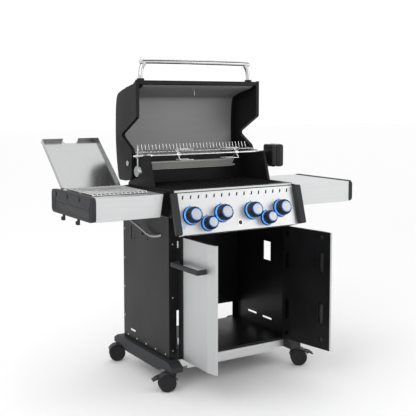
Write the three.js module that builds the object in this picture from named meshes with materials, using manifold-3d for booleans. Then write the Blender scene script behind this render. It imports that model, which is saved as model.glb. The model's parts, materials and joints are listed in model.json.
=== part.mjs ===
// Gas barbecue grill on a closed cart: firebox with a hinged lid, spit and rear burner,
// sloping control panel, two side shelves (the left one holds a side burner), two doors
// and four swivel castors.
// Millimetres. X runs left to right, Y front to back, Z up from the floor.
import * as THREE from 'three';
import { mergeVertices } from 'three/addons/utils/BufferGeometryUtils.js';
import Module from 'manifold-3d';

const wasm = await Module();
wasm.setup();

// ---------------------------------------------------------------- driving dimensions
const overallWidth = 1448; // across the end caps of both side shelves
const fit = 0.3; // gap between two pieces that touch
const boreFit = 0.6; // gap all round a pin or stem that turns in its hole
const sheet = 3; // folded sheet steel

const cartWidth = 680; // across the outer faces of the cart side panels
const cartFront = 24; // front edge of the side panels, behind the shelf fronts
const cartDepth = 461; // side panels, front to back
const cartTop = 780; // top edge of the side panels
const frontFlange = 39; // width of the post that each side panel folds into at the front
const rearFlange = 30;
const rearPanelBottom = 217;
const rearPanelTop = 705;
const cartFloorLip = 7; // down-turned front edge of the cabinet floor

const railTop = 131; // base rails that carry the cart
const railBelly = 72;
const railWidth = 60;
const railCentre = 335; // from the middle of the cart
const railNose = 66; // how far a rail runs out in front of the cart
const railTail = 67; // and behind it
const crossRailHeight = 46;
const crossRailDepth = 20;
const crossRailRelief = 58; // raised ends that clear the swivelling castors

const casterHeight = 88; // floor to the underside of the rail ends
const wheelRadius = 40;
const wheelWidth = 48;
const wheelGap = 12; // groove between the two treads of a castor wheel
const wheelHubRadius = 10;
const casterTrail = 30; // swivel axis to wheel axle
const casterStemRadius = 6;
const casterStemLength = 26;
const casterHood = 3.5; // thickness of the hood over the wheel

const doorWidth = 297.5;
const doorThickness = 20;
const doorBottom = 142;
const doorTop = 697;
const doorSkin = 2;
const doorEdgeGap = 2; // between the hinge axis and the edge of the leaf
const leftDoorOpen = 90; // degrees
const rightDoorOpen = 100;
const handleStandOff = 48;
const handleHeight = 22;
const handleBar = 14;
const handleStart = 10; // from the hinge axis
const handleLength = 230;
const handleBottom = 566;

const rimHeight = 905; // top edge of the firebox
const fireboxFront = 4;
const fireboxBack = 433;
const castingWidth = 14; // cast side of the firebox
const fireboxHalf = 336; // middle to the outer face of a casting
const shoulderTop = 1048;
const shoulderFront = 182; // where the raised shoulder leaves the rim
const shoulderFlat = [226, 300]; // flat top of the shoulder
const tubFrontWall = 31;
const tubRearWall = 408;
const tubFloor = 786;
const tubFloorSpan = [150, 290];
const rearWallTop = 1040;
const burnerCount = 4;
const burnerRadius = 11;
const burnerPitch = 160;
const burnerHeight = 836;
const gridBottom = 890;
const gridThickness = 13;
const gridBars = 10; // in each cooking grid
const heatPlateBottom = 858;
const heatPlateRise = 20;

const hingeY = 402; // lid hinge axis
const hingeZ = 1002;
const hingePinRadius = 6;
const lidOpen = 90; // degrees
const lidSkin = 4;
const lidCapWidth = 18;
const linerInset = 10; // clear gap between the lid's outer and inner skins
const linerSheet = 2;
const linerSideGap = 8; // liner edge to the inner face of a casting
const lidRimGap = 3; // shut lid to the firebox rim

const spitY = 262;
const spitZ = 1045;
const spitRadius = 5;
const forkPositions = [-155, 181];

const panelTopY = -7.6; // top edge of the sloping control panel
const panelTopZ = 889.3;
const panelLength = 183.6; // down the slope
const panelTilt = 15.9; // degrees back from upright
const panelHalf = 325.6;
const stemRadius = 4;
const manifoldDepth = 28; // gas manifold behind the panel face

const shelfTop = 893;
const shelfHeight = 102;
const shelfDepth = 452;
const shelfInnerTop = 378; // middle of the grill to the inner end of a shelf
const shelfInnerBottom = 394;
const endCapWidth = 22;
const sideBurner = { x0: -694, x1: -409, y0: 66, y1: 378 }; // opening in the left shelf
const sideLidOpen = 140; // degrees
const sideLidDepth = 20;
const hoseRadius = 6;

const tubeHandleRadius = 12.5;
const handleBossRadius = 17;
const handleBossX = 311;
const dialRadius = 37; // thermometer
const dialDepth = 13;

// ---------------------------------------------------------------- shared places
const cartBack = cartFront + cartDepth;
const cartHalf = cartWidth / 2;
const panelBottom = railTop + fit;
const railFront = cartFront - railNose;
const railBack = cartBack + railTail;
const capOuter = overallWidth / 2;
const shelfOuter = capOuter - endCapWidth - fit;
const shelfBottom = shelfTop - shelfHeight;
const doorHinge = { x: cartHalf - frontFlange, y: cartFront - doorThickness + 2 };
const castingInner = fireboxHalf - castingWidth;
const tubHalf = castingInner - fit;
const slope = THREE.MathUtils.degToRad(panelTilt);
const sides = { left: -1, right: 1 };

// ---------------------------------------------------------------- solid-making helpers
// Box between two corners.
function box(x0, x1, y0, y1, z0, z1) {
  const geometry = new THREE.BoxGeometry(Math.abs(x1 - x0), Math.abs(y1 - y0), Math.abs(z1 - z0));
  return geometry.translate((x0 + x1) / 2, (y0 + y1) / 2, (z0 + z1) / 2);
}

// Outline in a plane, from a list of points or a ready Shape.
function outline(points) {
  if (points instanceof THREE.Shape) return points;
  return new THREE.Shape(points.map(([u, v]) => new THREE.Vector2(u, v)));
}

// Extrudes an outline and turns it so that its plane has the given directions.
function prism(points, depth, right, up, out, curveSegments) {
  const options = { depth, bevelEnabled: false, curveSegments };
  const geometry = new THREE.ExtrudeGeometry(outline(points), options);
  const turn = new THREE.Matrix4().makeBasis(right, up, out);
  return geometry.applyMatrix4(turn);
}

const alongX = new THREE.Vector3(1, 0, 0);
const alongY = new THREE.Vector3(0, 1, 0);
const alongZ = new THREE.Vector3(0, 0, 1);

// Outline in (y, z), extruded from x0 to x1.
function prismX(points, x0, x1, curveSegments = 8) {
  const start = Math.min(x0, x1);
  return prism(points, Math.abs(x1 - x0), alongY, alongZ, alongX, curveSegments).translate(start, 0, 0);
}

// Outline in (x, z), extruded from y0 to y1.
function prismY(points, y0, y1, curveSegments = 8) {
  const end = Math.max(y0, y1);
  const back = alongY.clone().negate();
  return prism(points, Math.abs(y1 - y0), alongX, alongZ, back, curveSegments).translate(0, end, 0);
}

// Outline in (x, y), extruded from z0 to z1.
function prismZ(points, z0, z1, curveSegments = 8) {
  const start = Math.min(z0, z1);
  return prism(points, Math.abs(z1 - z0), alongX, alongY, alongZ, curveSegments).translate(0, 0, start);
}

// Rectangle with round corners, centred on (u, v).
function roundedRectangle(u, v, width, height, radius) {
  const r = Math.min(radius, width / 2 - 0.01, height / 2 - 0.01);
  const [left, right] = [u - width / 2, u + width / 2];
  const [low, high] = [v - height / 2, v + height / 2];
  const shape = new THREE.Shape();
  shape.moveTo(left + r, low);
  shape.lineTo(right - r, low);
  shape.absarc(right - r, low + r, r, -Math.PI / 2, 0, false);
  shape.lineTo(right, high - r);
  shape.absarc(right - r, high - r, r, 0, Math.PI / 2, false);
  shape.lineTo(left + r, high);
  shape.absarc(left + r, high - r, r, Math.PI / 2, Math.PI, false);
  shape.lineTo(left, low + r);
  shape.absarc(left + r, low + r, r, Math.PI, Math.PI * 1.5, false);
  return shape;
}

// Round bar from one point to another.
function rod(from, to, radius, facets = 16) {
  const a = new THREE.Vector3(...from);
  const b = new THREE.Vector3(...to);
  const direction = b.clone().sub(a);
  const geometry = new THREE.CylinderGeometry(radius, radius, direction.length(), facets);
  const turn = new THREE.Quaternion().setFromUnitVectors(alongY, direction.clone().normalize());
  geometry.applyQuaternion(turn);
  const middle = a.add(b).multiplyScalar(0.5);
  return geometry.translate(middle.x, middle.y, middle.z);
}

// Turned solid about Z, from a profile of [radius, height] points that starts and ends on the axis.
function turned(profile, facets = 32) {
  const points = profile.map(([radius, height]) => new THREE.Vector2(radius, height));
  return new THREE.LatheGeometry(points, facets).rotateX(Math.PI / 2);
}

// Bent round tube or bar through a list of points.
function bentTube(points, radius, steps, facets = 12, tension = 0.5) {
  const knots = points.map((point) => new THREE.Vector3(...point));
  const path = new THREE.CatmullRomCurve3(knots, false, 'catmullrom', tension);
  const section = new THREE.Shape();
  for (let i = 0; i < facets; i += 1) {
    const angle = (i / facets) * Math.PI * 2;
    const [u, v] = [radius * Math.cos(angle), radius * Math.sin(angle)];
    if (i === 0) section.moveTo(u, v);
    else section.lineTo(u, v);
  }
  section.closePath();
  return new THREE.ExtrudeGeometry(section, { steps, extrudePath: path, bevelEnabled: false });
}

// Outline of a folded sheet: a line of [u, v] points given an even thickness on its right-hand side.
function folded(points, thickness) {
  const inner = points.map((point, index) => {
    const before = points[Math.max(index - 1, 0)];
    const after = points[Math.min(index + 1, points.length - 1)];
    const normals = [];
    if (index > 0) normals.push(rightNormal(before, point));
    if (index < points.length - 1) normals.push(rightNormal(point, after));
    const sum = normals.reduce(([a, b], [c, d]) => [a + c, b + d]);
    const scale = (normals.length * thickness) / (sum[0] ** 2 + sum[1] ** 2);
    return [point[0] + sum[0] * scale, point[1] + sum[1] * scale];
  });
  return [...points, ...inner.reverse()];
}

function rightNormal([u0, v0], [u1, v1]) {
  const length = Math.hypot(u1 - u0, v1 - v0);
  return [(v1 - v0) / length, -(u1 - u0) / length];
}

function toSolid(geometry) {
  const bare = geometry.clone();
  bare.deleteAttribute('normal');
  bare.deleteAttribute('uv');
  const merged = mergeVertices(bare, 1e-4);
  const vertProperties = new Float32Array(merged.attributes.position.array);
  const triVerts = new Uint32Array(merged.index.array);
  return new wasm.Manifold(new wasm.Mesh({ numProp: 3, vertProperties, triVerts }));
}

function toGeometry(solid) {
  const mesh = solid.getMesh();
  const geometry = new THREE.BufferGeometry();
  geometry.setAttribute('position', new THREE.BufferAttribute(new Float32Array(mesh.vertProperties), 3));
  geometry.setIndex(new THREE.BufferAttribute(new Uint32Array(mesh.triVerts), 1));
  return geometry;
}

function join(...geometries) {
  return toGeometry(geometries.map(toSolid).reduce((sum, next) => sum.add(next)));
}

function cut(body, ...tools) {
  return toGeometry(tools.map(toSolid).reduce((rest, tool) => rest.subtract(tool), toSolid(body)));
}

// Evenly spaced numbers from first to last.
function spread(first, last, count) {
  return Array.from({ length: count }, (_, i) => first + ((last - first) * i) / (count - 1));
}

// ---------------------------------------------------------------- finishes
const finishes = {
  blackEnamel: { color: 0x17181a, roughness: 0.42, metalness: 0.25 },
  blackCast: { color: 0x1b1c1e, roughness: 0.6, metalness: 0.3 },
  blackPlastic: { color: 0x26272a, roughness: 0.62, metalness: 0 },
  stainless: { color: 0xc4c6c8, roughness: 0.32, metalness: 0.9 },
  chrome: { color: 0xe4e6e8, roughness: 0.12, metalness: 1 },
  galvanised: { color: 0x9a9c9d, roughness: 0.5, metalness: 0.8 },
  castIron: { color: 0x101112, roughness: 0.75, metalness: 0.2 },
  ceramic: { color: 0xc9c7c2, roughness: 0.85, metalness: 0 },
  rubber: { color: 0x1c1c1d, roughness: 0.85, metalness: 0 },
  greyRubber: { color: 0xa8abad, roughness: 0.7, metalness: 0 },
};

const grill = new THREE.Group();

function piece(name, geometry, finish, parent = grill) {
  const mesh = new THREE.Mesh(geometry, new THREE.MeshStandardMaterial(finishes[finish]));
  mesh.name = name;
  parent.add(mesh);
  return mesh;
}

// Group that pieces are built in, at a place of its own in the grill or in another group.
function groupAt(x, y, z, parent = grill) {
  const group = new THREE.Group();
  group.position.set(x, y, z);
  parent.add(group);
  return group;
}

// ---------------------------------------------------------------- cart
// Side panel folded into a post at the front and a flange at the back.
function cartSidePanel(side) {
  const at = (inward) => side * (cartHalf - inward);
  const plan = [
    [at(0), cartFront],
    [at(frontFlange), cartFront],
    [at(frontFlange), cartFront + sheet],
    [at(sheet), cartFront + sheet],
    [at(sheet), cartBack - sheet],
    [at(rearFlange), cartBack - sheet],
    [at(rearFlange), cartBack],
    [at(0), cartBack],
  ];
  return prismZ(plan, panelBottom, cartTop);
}

// Cutter through a side panel: a slot or hole centred on (y, z).
function sidePanelHole(side, { y, z, width, height, radius }) {
  const outer = side * (cartHalf + 1);
  const inner = side * (cartHalf - sheet - 1);
  return prismX(roundedRectangle(y, z, width, height, radius), outer, inner, 3);
}

const hoseEntry = { y: 108, z: 690 };
const leftPanelHoles = [
  { y: 395, z: 666, width: 9, height: 66, radius: 4.5 },
  { y: 364, z: 640, width: 10, height: 10, radius: 5 },
  { y: 274, z: 675, width: 28, height: 12, radius: 6 },
  { y: 231, z: 655, width: 9, height: 9, radius: 4.5 },
  { ...hoseEntry, width: 2 * hoseRadius + 12, height: 2 * hoseRadius + 8, radius: hoseRadius + 4 },
  { y: 388, z: 181, width: 56, height: 10, radius: 5 },
];
const rightPanelHoles = [
  { y: 206, z: 538, width: 60, height: 97, radius: 2 },
  { y: 337, z: 191, width: 80, height: 10, radius: 2 },
  { y: 204, z: 188, width: 80, height: 10, radius: 2 },
];

piece(
  'side_panel_left',
  cut(cartSidePanel(sides.left), ...leftPanelHoles.map((hole) => sidePanelHole(sides.left, hole))),
  'blackEnamel',
);
piece(
  'side_panel_right',
  cut(cartSidePanel(sides.right), ...rightPanelHoles.map((hole) => sidePanelHole(sides.right, hole))),
  'blackEnamel',
);

const innerHalf = cartHalf - sheet - fit; // between the side panels
const innerBack = cartBack - sheet - fit;
piece(
  'rear_panel',
  box(-innerHalf, innerHalf, innerBack - sheet, innerBack, rearPanelBottom, rearPanelTop),
  'blackEnamel',
);

const floorFront = cartFront + sheet + fit;
const floorEdge = [
  [floorFront, panelBottom + sheet],
  [floorFront, panelBottom - cartFloorLip],
  [floorFront + sheet, panelBottom - cartFloorLip],
  [floorFront + sheet, panelBottom],
  [innerBack, panelBottom],
  [innerBack, panelBottom + sheet],
];
const railInner = railCentre - railWidth / 2 - fit; // between the two base rails
piece(
  'cabinet_floor',
  join(
    prismX(floorEdge, -railInner, railInner),
    box(-innerHalf, innerHalf, floorFront, innerBack, panelBottom, panelBottom + sheet),
  ),
  'blackEnamel',
);

const crossRailTop = panelBottom - cartFloorLip - fit;
const crossRailFront = cartFront - 4;
piece(
  'front_rail',
  cut(
    box(
      -railInner, railInner,
      crossRailFront, crossRailFront + crossRailDepth,
      crossRailTop - crossRailHeight, crossRailTop,
    ),
    box(
      -railInner - 1, railInner + 1,
      crossRailFront + sheet, crossRailFront + crossRailDepth + 1,
      crossRailTop - crossRailHeight + sheet, crossRailTop - sheet,
    ),
    ...Object.values(sides).map((side) => box(
      side * (railInner - crossRailRelief), side * (railInner + 1),
      crossRailFront - 1, crossRailFront + crossRailDepth + 1,
      crossRailTop - crossRailHeight - 1, casterHeight + 3,
    )),
  ),
  'stainless',
);

const casterX = 338;
const frontCasterY = railFront + 30;
const rearCasterY = railBack - 47;
const casterAxes = [
  { name: 'front_left', x: -casterX, y: frontCasterY, heading: 165, brake: true },
  { name: 'front_right', x: casterX, y: frontCasterY, heading: 330, brake: true },
  { name: 'rear_left', x: -casterX, y: rearCasterY, heading: 160, brake: false },
  { name: 'rear_right', x: casterX, y: rearCasterY, heading: 336, brake: false },
];
const railEnd = casterHeight + fit;
const noseSlope = 34;
const noseDrop = 20;
const flatEnd = 92; // length of the raised rail end over a castor
const bellyEnd = 124;
const railProfile = [
  [railFront + noseSlope, railTop],
  [railFront, railTop - noseDrop],
  [railFront, railEnd],
  [railFront + flatEnd, railEnd],
  [railFront + bellyEnd, railBelly],
  [railBack - bellyEnd, railBelly],
  [railBack - flatEnd, railEnd],
  [railBack, railEnd],
  [railBack, railTop - noseDrop],
  [railBack - noseSlope, railTop],
];
for (const [name, side] of Object.entries(sides)) {
  const halfWidth = railWidth / 2;
  const rail = prismX(railProfile, side * (railCentre - halfWidth), side * (railCentre + halfWidth));
  const sockets = casterAxes
    .filter((axis) => Math.sign(axis.x) === side)
    .map(({ x, y }) =>
      rod([x, y, railEnd - 5], [x, y, railEnd + casterStemLength + 2], casterStemRadius + boreFit, 12));
  piece(`base_rail_${name}`, cut(rail, ...sockets), 'blackPlastic');
}

// ---------------------------------------------------------------- castors
// Built on its swivel axis at floor level, trailing along +X.
const hoodRadius = wheelRadius + 3;
const brakePivot = { x: casterTrail + 46, z: wheelRadius + 27 };
const leverHalf = wheelWidth / 2 - 6;
const leverPinRadius = 1.6;
const lugThickness = 3;

// Two lugs on the hood, with the pin that a brake lever tips on.
function brakeLugs() {
  const outline = [
    [casterTrail + 22, wheelRadius + 38],
    [casterTrail + 36, wheelRadius + 24],
    [brakePivot.x + 1, brakePivot.z - 4],
    [brakePivot.x + 4, brakePivot.z],
    [brakePivot.x, brakePivot.z + 4],
  ];
  const face = leverHalf + fit;
  const lugs = Object.values(sides).map((side) => prismY(outline, side * face, side * (face + lugThickness)));
  const ends = [-face - 1, face + 1].map((y) => [brakePivot.x, y, brakePivot.z]);
  return join(...lugs, rod(...ends, leverPinRadius, 8));
}

function casterFork(brake) {
  const halfWidth = wheelWidth / 2;
  const arc = (radius, from, to) => spread(from, to, 9).map((degrees) => {
    const angle = THREE.MathUtils.degToRad(degrees);
    return [casterTrail + radius * Math.cos(angle), wheelRadius + radius * Math.sin(angle)];
  });
  const hood = prismY(
    [...arc(hoodRadius + casterHood, 25, 165), ...arc(hoodRadius, 165, 25)],
    -halfWidth,
    halfWidth,
  );
  const webHalf = wheelGap / 2 - 1.5;
  const web = prismY(
    [
      [-12, wheelRadius + 20],
      [casterTrail - 14, wheelRadius - 14],
      [casterTrail + 14, wheelRadius - 14],
      [casterTrail + 30, wheelRadius + 33],
      [casterTrail, casterHeight - 3],
      [-12, casterHeight - 3],
    ],
    -webHalf,
    webHalf,
  );
  const plate = rod([0, 0, casterHeight - 5], [0, 0, casterHeight], 19, 20);
  const stem = rod([0, 0, casterHeight - 4], [0, 0, casterHeight + casterStemLength], casterStemRadius, 12);
  const neck = box(-12, casterTrail - 4, -9, 9, casterHeight - 14, casterHeight - 3);
  const across = [[casterTrail, -9, wheelRadius], [casterTrail, 9, wheelRadius]];
  const hubHole = rod(...across, wheelHubRadius + boreFit, 16);
  const wheelSpace = rod(
    [casterTrail, -halfWidth, wheelRadius],
    [casterTrail, -webHalf, wheelRadius],
    hoodRadius - 0.2,
    24,
  );
  const otherSpace = wheelSpace.clone().translate(0, halfWidth + webHalf, 0);
  const lugs = brake ? [brakeLugs()] : [];
  return cut(join(hood, web, ...lugs, join(plate, stem, cut(neck, wheelSpace, otherSpace))), hubHole);
}

// Twin-tread wheel turned in one piece, built about its own axle along Y.
function casterWheel() {
  const half = wheelWidth / 2 - 1;
  const groove = wheelGap / 2;
  const profile = [
    [0, -half],
    [wheelRadius - 9, -half],
    [wheelRadius - 2, -half + 2],
    [wheelRadius, -half + 5],
    [wheelRadius, -groove - 2],
    [wheelRadius - 2, -groove],
    [wheelHubRadius, -groove],
  ];
  const mirrored = profile.map(([radius, height]) => [radius, -height]).reverse();
  return turned([...profile, ...mirrored], 20).rotateX(Math.PI / 2);
}

// Foot lever at the back of the hood, built about its own pivot.
function brakeLever() {
  const side = [
    [-3, -3],
    [4, -4],
    [22, -12],
    [24, -8],
    [6, 4],
    [-2, 4],
  ];
  const bore = rod([0, -leverHalf - 1, 0], [0, leverHalf + 1, 0], leverPinRadius + fit, 8);
  return cut(prismY(side, -leverHalf, leverHalf), bore);
}

for (const { name, x, y, heading, brake } of casterAxes) {
  const caster = groupAt(x, y, 0);
  caster.rotation.z = THREE.MathUtils.degToRad(heading);
  piece(`caster_fork_${name}`, casterFork(brake), 'blackPlastic', caster);
  piece(`caster_wheel_${name}`, casterWheel(), 'rubber', groupAt(casterTrail, 0, wheelRadius, caster));
  if (brake) {
    const pivot = groupAt(brakePivot.x, 0, brakePivot.z, caster);
    piece(`brake_lever_${name}`, brakeLever(), 'blackPlastic', pivot);
  }
}

// ---------------------------------------------------------------- doors
// Hollow leaf, closed along +X from its hinge for the left door and along -X for the right one.
const slotWidth = 24; // slots in the inner face, with round ends
const slotColumns = [
  {
    x: 34, // from the hinge axis
    slots: [
      { share: 0.935, length: 24 }, // share of the door's height
      { share: 0.7, length: 78 },
      { share: 0.27, length: 96 },
      { share: 0.058, length: 24 },
    ],
  },
  {
    x: 245,
    slots: [
      { share: 0.955, length: 24 },
      { share: 0.74, length: 96 },
      { share: 0.3, length: 100 },
      { share: 0.08, length: 24 },
    ],
  },
];
const doorHeight = doorTop - doorBottom;

function doorLeaf(side) {
  const u = (x) => -side * x;
  const skinned = [
    [u(doorEdgeGap), 0],
    [u(doorWidth + doorEdgeGap), 0],
    [u(doorWidth + doorEdgeGap), doorThickness],
    [u(doorEdgeGap), doorThickness],
  ];
  const hollow = [
    [u(doorEdgeGap + doorSkin), doorSkin],
    [u(doorWidth + doorEdgeGap - doorSkin), doorSkin],
    [u(doorWidth + doorEdgeGap - doorSkin), doorThickness - doorSkin],
    [u(doorEdgeGap + doorSkin), doorThickness - doorSkin],
  ];
  const cutters = slotColumns.flatMap(({ x, slots }) => slots.map(({ share, length }) => prismY(
    roundedRectangle(u(x), doorBottom + share * doorHeight, slotWidth, length, slotWidth / 2),
    doorThickness - doorSkin - 1,
    doorThickness + 1,
    3,
  )));
  return cut(
    prismZ(skinned, doorBottom, doorTop),
    prismZ(hollow, doorBottom - 1, doorTop + 1),
    ...cutters,
  );
}

function doorHandle(side) {
  const u = (x) => -side * x;
  const top = handleBottom + handleHeight;
  const bar = box(
    u(handleStart), u(handleStart + handleLength),
    -handleStandOff, handleBar - handleStandOff,
    handleBottom, top,
  );
  const posts = [handleStart, handleStart + handleLength - handleBar].map((x) =>
    box(u(x), u(x + handleBar), -handleStandOff + 1, -fit, handleBottom, top));
  return join(bar, ...posts);
}

const doorAngles = { left: -leftDoorOpen, right: rightDoorOpen };
for (const [name, side] of Object.entries(sides)) {
  const hinge = groupAt(side * doorHinge.x, doorHinge.y, 0);
  hinge.rotation.z = THREE.MathUtils.degToRad(doorAngles[name]);
  piece(`door_${name}`, doorLeaf(side), 'stainless', hinge);
  piece(`door_handle_${name}`, doorHandle(side), 'blackPlastic', hinge);
}

// ---------------------------------------------------------------- firebox
const castingBottom = cartTop + fit;
const hingeBoss = 16;

// Beam cast on the outside of the firebox that a shelf bolts to.
function shelfBeam(side) {
  const inner = side * (fireboxHalf - 1);
  const outer = side * (shelfInnerTop - fit);
  const profile = [
    [inner, rimHeight - 8],
    [outer, shelfTop - 1],
    [outer, shelfTop - 40],
    [side * (shelfInnerTop - 6), castingBottom + 16],
    [inner, castingBottom + 4],
  ];
  return prismY(profile, 34, fireboxBack - 8);
}

// Cast side of the firebox, with the raised shoulder, the spit notch and the lid's hinge pin.
function fireboxCasting(side) {
  const [flatStart, flatFinish] = shoulderFlat;
  const boss = spread(125, -25, 7).map((degrees) => {
    const angle = THREE.MathUtils.degToRad(degrees);
    return [hingeY + hingeBoss * Math.cos(angle), hingeZ + hingeBoss * Math.sin(angle)];
  });
  const profile = [
    [fireboxFront, castingBottom],
    [fireboxBack, castingBottom],
    [fireboxBack, rimHeight],
    [hingeY + hingeBoss - 2, rimHeight + 12],
    ...boss.reverse(),
    [flatFinish, shoulderTop],
    [flatStart, shoulderTop],
    [shoulderFront, rimHeight],
    [fireboxFront, rimHeight],
  ];
  const inner = side * castingInner;
  const outer = side * fireboxHalf;
  const notch = prismX(
    roundedRectangle(spitY, spitZ + 20, 2 * (spitRadius + fit), 40 + 2 * (spitRadius + fit), spitRadius),
    inner - side,
    outer + side,
    4,
  );
  const pinEnd = side * (fireboxHalf + fit + lidCapWidth + 2);
  const pin = rod([outer - side * 2, hingeY, hingeZ], [pinEnd, hingeY, hingeZ], hingePinRadius, 16);
  const ledge = box(
    side * (castingInner - 9), inner + side,
    tubFrontWall + 8, tubRearWall - 8,
    gridBottom - 8 - fit, gridBottom - fit,
  );
  return join(cut(prismX(profile, inner, outer), notch), pin, ledge, shelfBeam(side));
}
for (const [name, side] of Object.entries(sides)) {
  piece(`firebox_side_${name}`, fireboxCasting(side), 'blackCast');
}

// Folded trough between the castings; its rear wall carries the rear burner.
const wallFoot = tubFloor + 29;
const tubLine = [
  [fireboxFront + 2, rimHeight],
  [tubFrontWall, rimHeight],
  [tubFrontWall, wallFoot],
  [tubFloorSpan[0], tubFloor],
  [tubFloorSpan[1], tubFloor],
  [tubRearWall, wallFoot],
  [tubRearWall, rearWallTop],
];
const burnerXs = spread(-1, 1, burnerCount).map((share) => (share * burnerPitch * (burnerCount - 1)) / 2);
const trayHalf = 170;
const trayFloor = 714;
const trayDepth = 26;

// Hanger under the trough that the grease tray slides on.
function trayRunner(side) {
  const web = side * (trayHalf + 1);
  const [start, end] = [tubFloorSpan[0] + 4, tubFloorSpan[1] - 4];
  const hanger = box(web, web + side * 2, start, end, trayFloor - fit - sheet, tubFloor - sheet + 1);
  const shelf = box(web - side * 14, web + side * 1, start, end, trayFloor - fit - sheet, trayFloor - fit);
  return join(hanger, shelf);
}

const burnerHoles = burnerXs.map((x) =>
  rod([x, tubFrontWall - 6, burnerHeight], [x, tubFrontWall + 6, burnerHeight], burnerRadius + 1, 20));
const drain = rod([0, 220, tubFloor - 8], [0, 220, tubFloor + 8], 32, 28);
piece(
  'firebox_tub',
  join(
    cut(prismX(folded(tubLine, sheet), -tubHalf, tubHalf), drain, ...burnerHoles),
    trayRunner(sides.left),
    trayRunner(sides.right),
  ),
  'blackEnamel',
);

piece(
  'grease_tray',
  cut(
    box(-trayHalf, trayHalf, 60, 400, trayFloor, trayFloor + trayDepth),
    box(-trayHalf + 2, trayHalf - 2, 62, 398, trayFloor + 2, trayFloor + trayDepth + 1),
  ),
  'galvanised',
);

// ---------------------------------------------------------------- control panel frame
// Pieces on the panel are built flat: X across, Y up the slope from its top edge, Z outwards.
const panel = groupAt(0, panelTopY, panelTopZ);
panel.rotation.x = Math.PI / 2 - slope;

// World place of a point on the panel: x across, s down the slope, n outwards.
function onPanel(x, s, n) {
  const y = panelTopY - s * Math.sin(slope) - n * Math.cos(slope);
  const z = panelTopZ - s * Math.cos(slope) + n * Math.sin(slope);
  return [x, y, z];
}

const knobs = [
  { name: 'burner_1', x: -261, s: 102, size: 1 },
  { name: 'side_burner', x: -179, s: 143, size: 0.85 },
  { name: 'burner_2', x: -97, s: 102, size: 1 },
  { name: 'burner_3', x: 69, s: 102, size: 1 },
  { name: 'rear_burner', x: 148.5, s: 143, size: 0.85 },
  { name: 'burner_4', x: 235, s: 102, size: 1 },
];
const knobBase = 6; // underside of a knob, off the panel face
const knobHeight = 57;
const knobSocket = 32; // depth that a stem reaches, off the panel face
const bezelRadius = 42.5;
const buttonPlace = { x: -4, s: 152, radius: 10 };

// Burner tubes, gas manifold, risers and knob stems: one brazed assembly.
const manifoldSlope = knobs[0].s;
const manifoldEnds = [-300, 300].map((x) => onPanel(x, manifoldSlope, -manifoldDepth));
const burnerFront = tubFrontWall - 20;
const burnerBack = tubRearWall - 28;
const burnerParts = burnerXs.flatMap((x) => [
  rod([x, burnerFront - 3, burnerHeight], [x, burnerBack, burnerHeight], burnerRadius, 10),
  rod(onPanel(x, manifoldSlope, -manifoldDepth), [x, burnerFront + 4, burnerHeight], 5, 6),
]);
const stems = knobs.flatMap(({ x, s }) => [
  rod(onPanel(x, manifoldSlope, -manifoldDepth), onPanel(x, s + 0.01, -manifoldDepth - 0.01), 7, 6),
  rod(onPanel(x, s, -manifoldDepth - 6), onPanel(x, s, -8), 9, 8),
  rod(onPanel(x, s, -10), onPanel(x, s, knobSocket - 2), stemRadius, 8),
]);
piece(
  'burner_set',
  join(
    rod(...manifoldEnds, 9, 10),
    box(-tubHalf, tubHalf, burnerBack - 12, burnerBack - 8, burnerHeight - 6, burnerHeight + 6),
    ...burnerParts,
    ...stems,
  ),
  'stainless',
);

const gridFront = tubFrontWall + sheet + 4;
const gridBack = tubRearWall - sheet - 4;

// Tent-shaped plates over the burners, tied together by a strip at each end.
const tentHalf = 58;
const tents = burnerXs.map((x) => prismY(
  folded([[x + tentHalf, heatPlateBottom], [x, heatPlateBottom + heatPlateRise], [x - tentHalf, heatPlateBottom]], 2.5),
  gridFront + 6,
  gridBack - 6,
));
const tieStrips = [gridFront + 6, gridBack - 14].map((y) =>
  box(-tubHalf, tubHalf, y, y + 8, heatPlateBottom - 4, heatPlateBottom + 1));
piece('heat_plates', join(...tents, ...tieStrips), 'stainless');

for (const [name, side] of Object.entries(sides)) {
  const inner = side * 2;
  const outer = side * (tubHalf - 2);
  const gridTop = gridBottom + gridThickness;
  const bars = spread(inner + side * 3.5, outer - side * 3.5, gridBars).map((x) =>
    box(x - 3.5, x + 3.5, gridFront, gridBack, gridBottom + 2, gridTop));
  const crossBars = [gridFront + 2, (gridFront + gridBack) / 2, gridBack - 12].map((y) =>
    box(inner + side * 0.5, outer - side * 0.5, y, y + 10, gridBottom, gridTop - 4));
  piece(`cooking_grid_${name}`, join(...crossBars, ...bars), 'castIron');
}

const rearBurner = { half: 240, depth: 26, z0: 966, z1: 1006 };
piece(
  'rear_burner',
  box(
    -rearBurner.half, rearBurner.half,
    tubRearWall - sheet - fit - rearBurner.depth, tubRearWall - sheet - fit,
    rearBurner.z0, rearBurner.z1,
  ),
  'ceramic',
);

// Warming rack of bent wires on two long carriers, resting on the castings' shoulders.
const rackWire = 4;
const rackWires = 23;
const rackFront = 312;
const rackBack = 378;
const rackZ = shoulderTop + 14;
const wireLine = [
  [rackFront, rackZ - 8],
  [rackFront + 4, rackZ],
  [rackBack - 12, rackZ],
  [rackBack, rackZ + 30],
];
const wires = spread(-castingInner + 10, castingInner - 10, rackWires).map((x) =>
  prismX(folded(wireLine, rackWire), x - rackWire / 2, x + rackWire / 2));
const carriers = [rackFront + 14, rackBack - 18].map((y) =>
  box(-fireboxHalf + 2, fireboxHalf - 2, y - 3, y + 3, rackZ - rackWire - 4, rackZ - rackWire + 1));
const rackFeet = Object.values(sides).map((side) =>
  box(
    side * (castingInner + 3), side * (fireboxHalf - 2),
    rackFront - 22, rackFront + 16,
    shoulderTop + fit, rackZ - rackWire,
  ));
const rackTies = Object.values(sides).map((side) =>
  box(
    side * (castingInner + 3), side * (fireboxHalf - 2),
    rackFront + 10, rackBack - 14,
    rackZ - rackWire - 4, rackZ - rackWire,
  ));
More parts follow.
